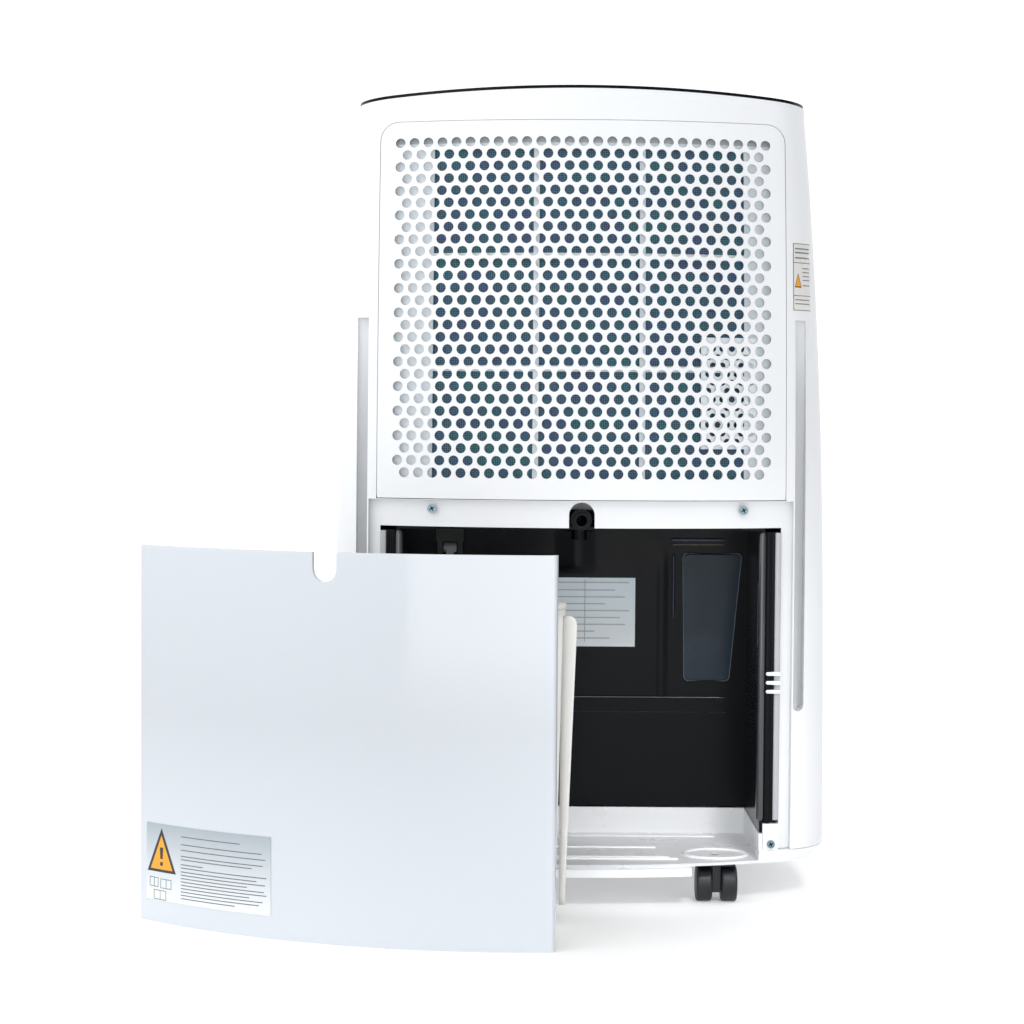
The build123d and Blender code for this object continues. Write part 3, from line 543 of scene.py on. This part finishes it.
class PrintTankLabel(bpy.types.Operator):
    """Generic label low on the tank panel: triangle, bars and boxes, with no lettering"""
    bl_idname = "dehumidifier.print_tank_label"
    bl_label = "Tank label"

    def execute(self, context):
        silver = paper("label_silver", (0.36, 0.41, 0.45), (0.80, 0.83, 0.86), 0.020, 0.071)
        amber = ink("label_amber", (0.80, 0.36, 0.02))
        dark = ink("label_dark", (0.03, 0.03, 0.03))
        grey = ink("label_grey", (0.16, 0.17, 0.18))
        plate = bars(LABEL_LEFT, LABEL_RIGHT, np.linspace(0.0715, 0.0275, 5)[:-1], 0.0110)
        plate += bars(LABEL_LEFT, LABEL_RIGHT, [0.0275], 0.0115)
        rim = [[(-0.1502, 0.0366), (-0.1364, 0.0685), (-0.1226, 0.0366)]]
        fill = [[(-0.1470, 0.0386), (-0.1364, 0.0632), (-0.1258, 0.0386)]]
        drop = [[(-0.1380, 0.0545), (-0.1348, 0.0545), (-0.1353, 0.0462), (-0.1375, 0.0462)],
                [(-0.1377, 0.0440), (-0.1351, 0.0440), (-0.1351, 0.0414), (-0.1377, 0.0414)]]
        tops = [0.0648, 0.0592, 0.0552, 0.0508, 0.0484, 0.0448, 0.0424]
        tops += [0.0396 - 0.0024 * row for row in range(9)]
        ends = [-0.066, -0.048, -0.045, -0.047, -0.056, -0.098, -0.044, -0.052, -0.045, -0.060,
                -0.046, -0.044, -0.058, -0.047, -0.050, -0.070]
        lines = bars(-0.1180, 0, tops, 0.0007, ends)
        boxes = []
        for x0, x1, top in ((-0.1480, -0.1395, 0.0325), (-0.1375, -0.1270, 0.0320),
                            (-0.1440, -0.1320, 0.0235)):
            boxes += bars(x0, x1, [top, top - 0.0065], 0.0005)
            boxes += bars(x0, x0 + 0.0005, [top], 0.0070) + bars(x1 - 0.0005, x1, [top], 0.0070)
            boxes += bars((x0 + x1) / 2, (x0 + x1) / 2 + 0.0005, [top], 0.0070)
        sheet, faces = on_tank(plate, 0.00030)
        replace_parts(make_piece("label_film", sheet, faces, silver, "tank"), "tank_sticker")
        for name, shapes, lift, material in (
                ("label_triangle_rim", rim, 0.00034, dark), ("label_triangle", fill, 0.00040, amber),
                ("label_mark", drop, 0.00046, dark), ("label_lines", lines, 0.00034, grey),
                ("label_boxes", boxes, 0.00034, grey),
                ("label_dot", bars(-0.1475, -0.1463, [0.0662], 0.0012), 0.00034, silver)):
            points, faces = on_tank(shapes, lift)
            make_piece(name, points, faces, material, "tank")
        return {"FINISHED"}


class PrintBayPlate(bpy.types.Operator):
    """Rating plate in the bay, without lettering"""
    bl_idname = "dehumidifier.print_bay_plate"
    bl_label = "Bay plate and corner label"

    def execute(self, context):
        low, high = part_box("rating_plate")
        film = paper("plate_film", (0.80, 0.93, 1.0), (0.92, 0.97, 1.0), low[2], high[2])
        assign(film, "rating_plate")
        grey = ink("plate_grey", (0.50, 0.53, 0.56))
        width, height = high[0] - low[0], high[2] - low[2]
        tops = [low[2] + height * t for t in (0.94, 0.83, 0.73, 0.63, 0.53, 0.43, 0.33, 0.23, 0.13)]
        ends = [low[0] + width * t for t in (0.94, 0.8, 0.9, 0.7, 0.94, 0.85, 0.9, 0.6, 0.75)]
        lines = bars(low[0] + width * 0.06, 0, tops, 0.0009, ends)
        lines += bars(low[0] + width * 0.5, 0, [low[2] + height * 0.97], height * 0.9,
                      [low[0] + width * 0.508])
        flat, faces = flat_shapes(lines)
        points = np.stack([flat[:, 0], np.full(len(flat), low[1] - 0.0003), flat[:, 1]], -1)
        make_piece("plate_lines", points, faces[:, ::-1], grey, "cabinet")
        return {"FINISHED"}


def rounded(corners, radius, steps=6):
    """Closed outline with each corner swapped for an arc of the given radius."""
    corners = np.asarray(corners, float)
    path = []
    for before, here, after in zip(np.roll(corners, 1, 0), corners, np.roll(corners, -1, 0)):
        a, b = before - here, after - here
        a, b = a / np.linalg.norm(a), b / np.linalg.norm(b)
        half = math.acos(np.clip(a @ b, -1, 1)) / 2
        first, last = here + a * radius / math.tan(half), here + b * radius / math.tan(half)
        middle = here + (a + b) / np.linalg.norm(a + b) * radius / math.sin(half)
        turn = np.linspace(0, 1, steps)[:, None]
        chord = first * (1 - turn) + last * turn - middle
        path.append(middle + chord / np.linalg.norm(chord, axis=1)[:, None] * radius)
    return np.concatenate(path)


def dished(outline, levels):
    """Rings of an outline shrunk by each (scale, depth) level, closed by a middle point."""
    middle = outline.mean(0)
    rings = [np.column_stack([middle + (outline - middle) * scale, np.full(len(outline), depth)])
             for scale, depth in levels]
    points = np.concatenate(rings + [[[*middle, levels[-1][1]]]])
    count = len(outline)
    last = (len(levels) - 1) * count
    cap = [(last + i, last + (i + 1) % count, len(points) - 1) for i in range(count)]
    return points, ring_faces(len(levels), count).tolist() + cap


def strip_along(path, out, profile):
    """Profile of (across, lift) pairs swept along a path with an outward direction per point."""
    ahead = np.gradient(path, axis=0)
    ahead /= np.linalg.norm(ahead, axis=1)[:, None]
    side = np.cross(ahead, out)
    points = (path[:, None] + side[:, None] * profile[None, :, :1]
              + out[:, None] * profile[None, :, 1:])
    return points.reshape(-1, 3), grid_faces(len(path), len(profile))


def upright_bead(name, x, y, low, high, half, rise, material, body="cabinet"):
    """Soft fold standing on a wall that faces -Y: rise * cos^2 across and at both ends."""
    across = np.linspace(-1, 1, 17)
    along = np.linspace(0, 1, 41)
    fade = np.sin(np.clip(np.minimum(along, 1 - along) * 6, 0, 1) * math.pi / 2) ** 2
    depth = rise * np.cos(across * math.pi / 2)[None, :] ** 2 * fade[:, None]
    points = np.stack(np.broadcast_arrays(x + half * across[None, :], y - depth,
                                          (low + (high - low) * along)[:, None]), -1)
    return make_piece(name, points.reshape(-1, 3), grid_faces(41, 17), material, body)


def tube_along(name, path, radius, material, body):
    """Round bar with domed ends along a path: a circle carried square to the path."""
    path = np.asarray(path, float)
    ahead = np.gradient(path, axis=0)
    ahead /= np.linalg.norm(ahead, axis=1)[:, None]
    upright = abs(ahead[0, 2]) > 0.9
    side = np.cross(ahead, [1.0, 0.0, 0.0] if upright else [0.0, 0.0, 1.0])
    side /= np.linalg.norm(side, axis=1)[:, None]
    other = np.cross(ahead, side)
    dome = np.linspace(0.03, math.pi / 2, 6)[:-1]
    reach = np.concatenate([-np.cos(dome), np.zeros(len(path)), np.cos(dome[::-1])]) * radius
    width = np.concatenate([np.sin(dome), np.ones(len(path)), np.sin(dome[::-1])]) * radius
    pick = np.concatenate([np.zeros(5, int), np.arange(len(path)), np.full(5, len(path) - 1)])
    turn = np.linspace(0, 2 * math.pi, 25)[:-1]
    ring = np.cos(turn)[None, :, None] * side[pick][:, None] \
        + np.sin(turn)[None, :, None] * other[pick][:, None]
    points = (path[pick] + reach[:, None] * ahead[pick])[:, None] + width[:, None, None] * ring
    return make_piece(name, points.reshape(-1, 3), capped_faces(len(pick), 24), material, body)


def cross_screws(material):
    """Two crossed bars in the head of each screw at the rear and on the base."""
    for label in ("rear", "base"):
        low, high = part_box(label + "_screws")
        half, z = (high[2] - low[2]) / 2, (high[2] + low[2]) / 2
        for x, name in ((low[0] + half, "left"), (high[0] - half, "right")):
            y = cast_to(label + "_screws", [x + half * 0.55], [z + half * 0.3], 0.0)[0, 1]
            for turned, part in ((0.5, "a"), (0.5 + math.pi / 2, "b")):
                reach = np.array([math.cos(turned), 0.0, math.sin(turned)]) * half * 0.48
                middle = np.array([x, y, z])
                cross = tube_along("cross_%s_%s_%s" % (label, name, part),
                                   [middle - reach, middle + reach], 0.0004, material, "cabinet")


class BuildBayDetails(bpy.types.Operator):
    """Recess inlay with painted light and a painted highlight round it, beads and round columns of the
    bay, and the pale flange of its mouth, painted grey for shade
    """
    bl_idname = "dehumidifier.build_bay_details"
    bl_label = "Bay details"

    def execute(self, context):
        look = context.scene.dehumidifier_cabinet
        # Painted light: the recess takes a lighter slate blue than the black lining round it, standing
        # in for light on the recess.
        recess_light = moulded("recess_painted_light", (0.024, 0.038, 0.056), 0.3, grain=700.0, depth=0.05)
        recess_light.node_tree.nodes["Principled BSDF"].inputs["Specular IOR Level"].default_value = 0.2
        black = bpy.data.materials["gloss_black"]
        outline = rounded(np.array([(0.0848, 0.2582), (0.132, 0.2582), (0.1224, 0.1558),
                                    (0.0866, 0.1558)]), 0.004)
        points, faces = dished(outline, [(1.0, 0.0009), (0.99, 0.0), (0.965, -0.0001), (0.5, 0.0001)])
        points = np.stack([points[:, 0] + CABINET_X, BAY_BACK + points[:, 2], points[:, 1]], -1)
        make_piece("bay_recess", points, faces, recess_light, "cabinet")
        for name, x, low, high, half, rise in (
                ("bay_fold_a", 0.0685, 0.060, 0.272, 0.0060, 0.0007),
                ("bay_fold_b", 0.0000, 0.241, 0.281, 0.0180, 0.0022)):
            fold = upright_bead(name, CABINET_X + x, BAY_BACK - 0.0002, low, high, half, rise, black)
        sheen = moulded("sheen_black", (0.02, 0.022, 0.026), 0.16, grain=200.0, depth=0.02, coat=1.0)
        # The pale slate bead round the recess (recess_edge) is a painted highlight along the recess's
        # edge.
        rim = moulded("recess_painted_highlight", (0.10, 0.14, 0.17), 0.25, grain=300.0, depth=0.02)
        tan = moulded("bar_tan", (0.16, 0.13, 0.10), 0.3)
        blue = moulded("bar_blue", (0.045, 0.055, 0.11), 0.3)
        dusk = moulded("strip_blue", (0.018, 0.024, 0.045), 0.3)
        around = np.concatenate([outline, outline[:1]])
        ledge, bar = np.linspace(-0.06, 0.12, 30), np.linspace(0.0765, 0.117, 12)
        for name, xs, lift, zs, radius, material in (
                # recess_edge: painted highlight round the recess
                ("recess_edge", around[:, 0], -0.0003, around[:, 1], 0.0005, rim),
                ("ledge_a", ledge, 0.0020, 0.1428, 0.0006, sheen),
                ("ledge_b", ledge, 0.0012, 0.1312, 0.0006, sheen),
                ("bar_edge", bar, 0.0030, 0.2652, 0.0005, tan),
                ("bar_face", bar, 0.0032, 0.2690, 0.0011, blue),
                ("strip_edge", 0.0775, 0.0012, np.linspace(0.2075, 0.2560, 12), 0.0012, dusk)):
            path = np.stack(np.broadcast_arrays(CABINET_X + xs, BAY_BACK - lift, zs), -1)
            tube_along(name, path, radius, material, "cabinet")
        low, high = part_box("jamb_ribs")
        for index, z in enumerate(np.linspace(low[2] + 0.0013, high[2] - 0.0013, 3)):
            rib = tube_along("jamb_rib_%d" % (index + 1),
                             [(CABINET_X + x, CABINET_Y - 0.1112, z) for x in (0.1410, 0.1494)],
                             0.0014, bpy.data.materials["trim_white"], "cabinet")
        # Painted shade: the flange of the mouth is pale, and its grey stands in for the shade it lies
        # in.
        flange_shade = moulded("flange_painted_shade", (0.42, 0.43, 0.45), 0.3)
        cross_screws(black)
        for side, name in ((-1, "left"), (1, "right")):
            column = tube_along("bay_round_" + name,
                                [(CABINET_X + side * 0.1366, CABINET_Y - 0.1070, z)
                                 for z in (0.066, 0.278)], 0.0034, sheen, "cabinet")
            flange = np.array([(-0.0022, -0.002), (-0.0022, 0.0), (-0.0015, 0.0006),
                               (0.0015, 0.0006), (0.0022, 0.0), (0.0022, -0.002)])
            zs = np.linspace(0.064, 0.2805, 30)
            path = np.stack([np.full(30, CABINET_X + side * 0.1482),
                             np.full(30, CABINET_Y - 0.1086), zs], -1)
            out = np.tile([0.0, -1.0, 0.0], (30, 1))
            points, faces = strip_along(path, out, flange)
            make_piece("bay_flange_" + name, points, faces, flange_shade, "cabinet")
        return {"FINISHED"}


class BuildTrayDetails(bpy.types.Operator):
    """Low ribs on the tray floor and the curb round each rear castor"""
    bl_idname = "dehumidifier.build_tray_details"
    bl_label = "Tray details"

    def execute(self, context):
        # The curbs and ribs take the base's white, lightened as painted light for the shaded tray.
        white = bpy.data.materials["base_white_painted_light"]
        turn = np.linspace(0, 2 * math.pi, 73)
        for side, name in ((-1, "left"), (1, "right")):
            middle = (CABINET_X + side * 0.105, CABINET_Y - 0.085)
            curb = np.stack([middle[0] + 0.024 * np.cos(turn), middle[1] + 0.020 * np.sin(turn),
                             np.full(73, BASE_FLOOR)], -1)
            tube_along("tray_curb_" + name, curb, 0.0014, white, "cabinet")
        for index, (y, start, stop) in enumerate(((-0.1085, -0.078, 0.074), (-0.1020, -0.078, 0.068),
                                                  (-0.0600, -0.070, 0.060), (-0.0100, -0.110, 0.110))):
            run = np.linspace(start, stop, 24)
            path = np.stack([CABINET_X + run, np.full(24, CABINET_Y + y),
                             np.full(24, BASE_FLOOR)], -1)
            tube_along("tray_rib_%d" % (index + 1), path, 0.0013, white, "cabinet")
        return {"FINISHED"}


class BuildBucketWeb(bpy.types.Operator):
    """Tapered stiffening webs at the bucket's rear corners: half width grows with height"""
    bl_idname = "dehumidifier.build_bucket_web"
    bl_label = "Bucket webs"

    def execute(self, context):
        milky_wall = bpy.data.materials["bucket_milky"]
        turn = np.linspace(0, math.pi, 9)
        zs = np.concatenate([np.linspace(0.012, 0.2, 24), np.linspace(0.205, 0.2225, 8)])
        root, foot, head, thin = 0.1295, 0.1335, 0.1418, 0.001
        edge = foot + (head - foot) * (zs - zs[0]) / (zs[-1] - zs[0])
        edge = edge - 0.004 * np.clip((zs - 0.216) / 0.0065, 0, 1) ** 2
        for side, name in ((-1, "left"), (1, "right")):
            rows = []
            for z, reach in zip(zs, edge):
                xs = np.concatenate([[root], reach - thin + thin * np.sin(turn), [root]])
                ys = np.concatenate([[0.1300], 0.1310 - thin * np.cos(turn), [0.1320]])
                rows.append(np.stack([side * xs, ys, np.full(len(xs), z)], -1))
            rows = np.array(rows)
            faces = capped_faces(*rows.shape[:2])
            if side < 0:
                faces = [face[::-1] for face in faces]
            web = make_piece("bucket_web_" + name, to_tank(rows.reshape(-1, 3)), faces, milky_wall,
                             "tank")
        return {"FINISHED"}


class BuildFilterLip(bpy.types.Operator):
    """White lip of the filter frame behind the grille's topmost row of holes"""
    bl_idname = "dehumidifier.build_filter_lip"
    bl_label = "Filter lip"

    def execute(self, context):
        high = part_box("filter_frame")[1]
        across = np.linspace(-0.145, 0.145, 59)
        front = cast_to("filter_frame", across + CABINET_X, np.full(59, high[2] - 0.002), 0.0)
        rows = np.array([(0.0, -0.0008), (0.0, 0.0), (0.0075, 0.0013), (0.0079, 0.0019),
                         (0.0079, 0.0032)])
        points = np.stack(np.broadcast_arrays(front[None, :, 0], front[None, :, 1] + rows[:, 1:],
                                              high[2] - 0.0004 + rows[:, :1]), -1)
        lip = make_piece("filter_lip", points.reshape(-1, 3), grid_faces(5, 59),
                         bpy.data.materials["trim_white"], "grille")
        return {"FINISHED"}


class BuildSeams(bpy.types.Operator):
    """Pale grey strip lying in the gap round the rear grille, its grey painted shade of the seam in
    place of the gap's darker shadow
    """
    bl_idname = "dehumidifier.build_seams"
    bl_label = "Grille seam"

    def execute(self, context):
        low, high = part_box("rear_grille")
        half, top, foot, radius = (high[0] - low[0]) / 2 + 0.0003, high[2] + 0.0003, low[2], 0.0143
        turn = np.linspace(0, math.pi / 2, 16)[1:-1]
        rise = np.linspace(foot + 0.002, top - radius, 40)
        run = np.linspace(-half + radius, half - radius, 60)
        left = np.stack([np.full(40, -half), rise], -1)
        bend = np.stack([-half + radius - radius * np.cos(turn),
                         top - radius + radius * np.sin(turn)], -1)
        level = np.stack([run, np.full(60, top)], -1)
        flat = np.concatenate([left, bend, level, np.stack([-bend[::-1, 0], bend[::-1, 1]], -1),
                               np.stack([np.full(40, half), rise[::-1]], -1)])
        ahead = np.gradient(flat, axis=0)
        ahead /= np.linalg.norm(ahead, axis=1)[:, None]
        beside = flat + np.stack([-ahead[:, 1], ahead[:, 0]], -1) * 0.0016
        face = cast_to("rear_shell", beside[:, 0] + CABINET_X, beside[:, 1], -0.0004)
        path = np.stack([flat[:, 0] + CABINET_X, face[:, 1], flat[:, 1]], -1)
        out = np.tile([0.0, -1.0, 0.0], (len(path), 1))
        # Painted shade: the strip fills the gap, and its grey stands in for the seam's soft shade.
        seam_shade = moulded("seam_painted_shade", (0.62, 0.63, 0.65), 0.6)
        points, faces = strip_along(path, out, np.array([(-0.0005, -0.0004), (-0.0002, 0.0),
                                                         (0.0002, 0.0), (0.0005, -0.0004)]))
        make_piece("grille_seam_painted_shade", points, faces, seam_shade, "cabinet")
        return {"FINISHED"}


class BuildRim(bpy.types.Operator):
    """White lip of the shells that covers the lower part of the black deck's edge"""
    bl_idname = "dehumidifier.build_rim"
    bl_label = "Deck rim"

    def execute(self, context):
        low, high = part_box("top_deck")
        graph = bpy.context.evaluated_depsgraph_get()
        tree = BVHTree.FromObject(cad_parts["top_deck"], graph)
        middle = np.array([(low[0] + high[0]) / 2, (low[1] + high[1]) / 2])
        shells = [BVHTree.FromObject(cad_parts[n], graph)
                  for n in ("rear_shell", "front_shell")]
        rows = []
        for angle in np.linspace(0, 2 * math.pi, 361):
            away = Vector((math.cos(angle), math.sin(angle), 0))
            x = middle[0] + away.x * 0.15
            for _ in range(3):
                top = high[2] - CROWN_RADIUS + math.sqrt(CROWN_RADIUS ** 2 - (x - CABINET_X) ** 2)
                start = Vector((middle[0], middle[1], top)) + away * 0.4
                upper = tree.ray_cast(start - Vector((0, 0, 0.0024)), -away)[0]
                if upper is None:
                    raise RuntimeError("no deck edge at %.2f rad" % angle)
                x = upper.x
            lower = [shell.ray_cast(start - Vector((0, 0, 0.0085)), -away)[0] for shell in shells]
            lower = max((hit for hit in lower if hit is not None), key=lambda hit: hit.dot(away))
            steps = ((0.0, 0.00002), (0.15, 0.00016), (0.5, 0.00028), (0.93, 0.00030), (1.0, 0.00005))
            rows.append([np.array(lower) * (1 - t) + np.array(upper) * t + np.array(away) * lift
                         for t, lift in steps])
        points = np.array(rows)
        lip = make_piece("deck_rim", points.reshape(-1, 3), grid_faces(361, 5),
                         bpy.data.materials["shell_white"], "cabinet")
        return {"FINISHED"}


class PrintCornerLabel(bpy.types.Operator):
    """Small label on the right rear corner: boxes, bars and a triangle, with no lettering"""
    bl_idname = "dehumidifier.print_corner_label"
    bl_label = "Corner label"

    def execute(self, context):
        film = paper("corner_film", (0.70, 0.68, 0.65), (0.76, 0.74, 0.71), 0.445, 0.5)
        dark, grey, amber = (bpy.data.materials["label_" + n] for n in ("dark", "grey", "amber"))
        left, right, foot, top = 0.1590, 0.1735, 0.4475, 0.4985
        border = [[(left, top), (left + 0.0004, top), (left + 0.0004, foot), (left, foot)]]
        border += bars(left, right, [top, 0.4840, 0.4590, foot + 0.0005], 0.0004)
        lines = bars(left + 0.0015, right - 0.001, [0.4950, 0.4920, 0.4880], 0.0010)
        lines += bars(left + 0.0078, right - 0.001, [0.4800, 0.4770, 0.4740, 0.4710, 0.4670], 0.0007)
        lines += bars(left + 0.0015, right - 0.001, [0.4560, 0.4530], 0.0007)
        plate = [[(left, top), (right, top), (right, foot), (left, foot)]]
        sign = [[(left + 0.0012, 0.4650), (left + 0.0040, 0.4760), (left + 0.0068, 0.4650)]]
        for name, shapes, lift, material in (
                ("corner_label", plate, 0.0002, film), ("corner_border", border, 0.0003, dark),
                ("corner_lines", lines, 0.0003, grey), ("corner_rim", sign, 0.0003, dark),
                ("corner_sign", [[(x * 0.8 + (left + 0.004) * 0.2, z * 0.8 + 0.4690 * 0.2)
                                  for x, z in sign[0]]], 0.0004, amber)):
            flat, faces = flat_shapes(shapes)
            points = cast_to("rear_shell", flat[:, 0] + CABINET_X, flat[:, 1], lift)
            make_piece(name, points, faces[:, ::-1], material, "cabinet")
        return {"FINISHED"}


def place_lamp(lamp, stand, aim):
    """Put a lamp in the scene, turned towards a point."""
    holder = bpy.data.objects.new(lamp.name, lamp)
    holder.matrix_world = Matrix.Translation(stand) @ (
        aim - stand).to_track_quat("-Z", "Y").to_matrix().to_4x4()
    bpy.context.scene.collection.objects.link(holder)


class BuildStage(bpy.types.Operator):
    """Pale floor, soft studio light and the camera"""
    bl_idname = "dehumidifier.build_stage"
    bl_label = "Stage"

    def execute(self, context):
        look = context.scene.dehumidifier_stage
        scene = context.scene
        material, tree, shader, place = start("stage_floor")
        cloud = noise(tree, place, 1.5)
        tree.links.new(blend_colours(tree, cloud, tinted(look.floor, 0.99), tinted(look.floor, 1.01)),
                       shader.inputs["Base Color"])
        shader.inputs["Roughness"].default_value = 0.75
        shader.inputs["Specular IOR Level"].default_value = 0.15
        shader.inputs["Emission Color"].default_value = (1.0, 1.0, 1.0, 1.0)
        shader.inputs["Emission Strength"].default_value = look.glow
        angle = np.linspace(0, math.pi / 2, 17)
        run = np.concatenate([[-9.0, -1.0, 0.4], 1.6 + 1.2 * np.sin(angle), [2.8]])
        rise = np.concatenate([[0.0, 0.0, 0.0], 1.2 - 1.2 * np.cos(angle), [4.0]])
        across = np.linspace(-8.0, 8.0, 10)
        points = np.stack([np.tile(across, len(run)), np.repeat(run, 10), np.repeat(rise, 10)], -1)
        mesh = bpy.data.meshes.new("floor")
        mesh.from_pydata(points.tolist(), [], grid_faces(len(run), 10).tolist())
        mesh.polygons.foreach_set("use_smooth", [True] * len(mesh.polygons))
        mesh.materials.append(material)
        floor = bpy.data.objects.new("floor", mesh)
        scene.collection.objects.link(floor)

        world = bpy.data.worlds.new("studio")
        world.use_nodes = True
        tree = world.node_tree
        sky = tree.nodes["Background"]
        sky.inputs[0].default_value = (0.97, 0.985, 1.0, 1)
        axes = put(tree, "SeparateXYZ", {"Vector": tree.nodes.new(
            "ShaderNodeTexCoord").outputs["Generated"]})
        tree.links.new(span(tree, axes.outputs["X"], -1, 1, look.ambient * 1.35, look.ambient * 0.45),
                       sky.inputs[1])
        scene.world = world
        aim = Vector((CABINET_X, CABINET_Y, 0.3))
        for name, spot, size, power in (
                ("key", (-1.5, -1.7, 2.1), 1.8, look.key),
                ("fill", (-0.2, -2.1, 0.05), 1.4, look.key * 0.6),
                ("back", (0.2, 1.3, 2.4), 2.0, look.key * 0.9)):
            lamp = bpy.data.lights.new(name, "AREA")
            lamp.shape = "SQUARE"
            lamp.size = size
            lamp.energy = power
            place_lamp(lamp, aim + Vector(spot), aim)

        lamp = bpy.data.lights.new("bay_spot", "SPOT")
        lamp.energy, lamp.spot_size, lamp.spot_blend = look.bay, math.radians(15), 0.9
        lamp.shadow_soft_size = 0.12
        place_lamp(lamp, Vector((CABINET_X + 0.30, CABINET_Y - 1.15, 0.95)),
                   Vector((CABINET_X + 0.075, CABINET_Y - 0.07, 0.04)))

        lens = bpy.data.cameras.new("view")
        lens.sensor_width = 36.0
        lens.lens = look.lens
        lens.clip_end = 30.0
        camera = bpy.data.objects.new("view", lens)
        ahead = Vector((math.radians(-0.10), 1.0, -math.tan(look.pitch))).normalized()
        right = ahead.cross(Vector((0, 0, 1))).normalized()
        up = right.cross(ahead)
        c, s = math.cos(look.roll), math.sin(look.roll)
        right, up = right * c + up * s, up * c - right * s
        turned = Matrix((right, up, -ahead)).transposed().to_4x4()
        stand = Vector(look.stand) + Vector((CABINET_X, CABINET_Y, 0))
        camera.matrix_world = Matrix.Translation(stand) @ turned
        scene.collection.objects.link(camera)
        scene.camera = camera
        scene.view_settings.view_transform = "Standard"
        return {"FINISHED"}


STEPS = (FinishCabinet, FinishWorks, BuildTankPanel, FinishTank, PrintTankLabel, PrintBayPlate,
         BuildBayDetails, BuildTrayDetails, BuildBucketWeb, BuildFilterLip, BuildSeams, BuildRim,
         PrintCornerLabel, BuildStage)


class DehumidifierPanel(bpy.types.Panel):
    """Lists the build steps and their settings"""
    bl_idname = "VIEW3D_PT_dehumidifier"
    bl_label = "Dehumidifier"
    bl_space_type = "VIEW_3D"
    bl_region_type = "UI"
    bl_category = "Dehumidifier"

    def draw(self, context):
        for step in STEPS:
            self.layout.operator(step.bl_idname)
        for group in ("dehumidifier_cabinet", "dehumidifier_tank", "dehumidifier_stage"):
            settings = getattr(context.scene, group)
            box = self.layout.box()
            for key in settings.__annotations__:
                box.prop(settings, key)


CLASSES = (CabinetSettings, TankSettings, StageSettings, *STEPS, DehumidifierPanel)


def register():
    for cls in CLASSES:
        bpy.utils.register_class(cls)
    bpy.types.Scene.dehumidifier_cabinet = PointerProperty(type=CabinetSettings)
    bpy.types.Scene.dehumidifier_tank = PointerProperty(type=TankSettings)
    bpy.types.Scene.dehumidifier_stage = PointerProperty(type=StageSettings)


def unregister():
    del bpy.types.Scene.dehumidifier_stage
    del bpy.types.Scene.dehumidifier_tank
    del bpy.types.Scene.dehumidifier_cabinet
    for cls in reversed(CLASSES):
        bpy.utils.unregister_class(cls)


def main():
    register()
    for step in STEPS:
        group, call = step.bl_idname.split(".")
        getattr(getattr(bpy.ops, group), call)()


if __name__ == "__main__":
    main()
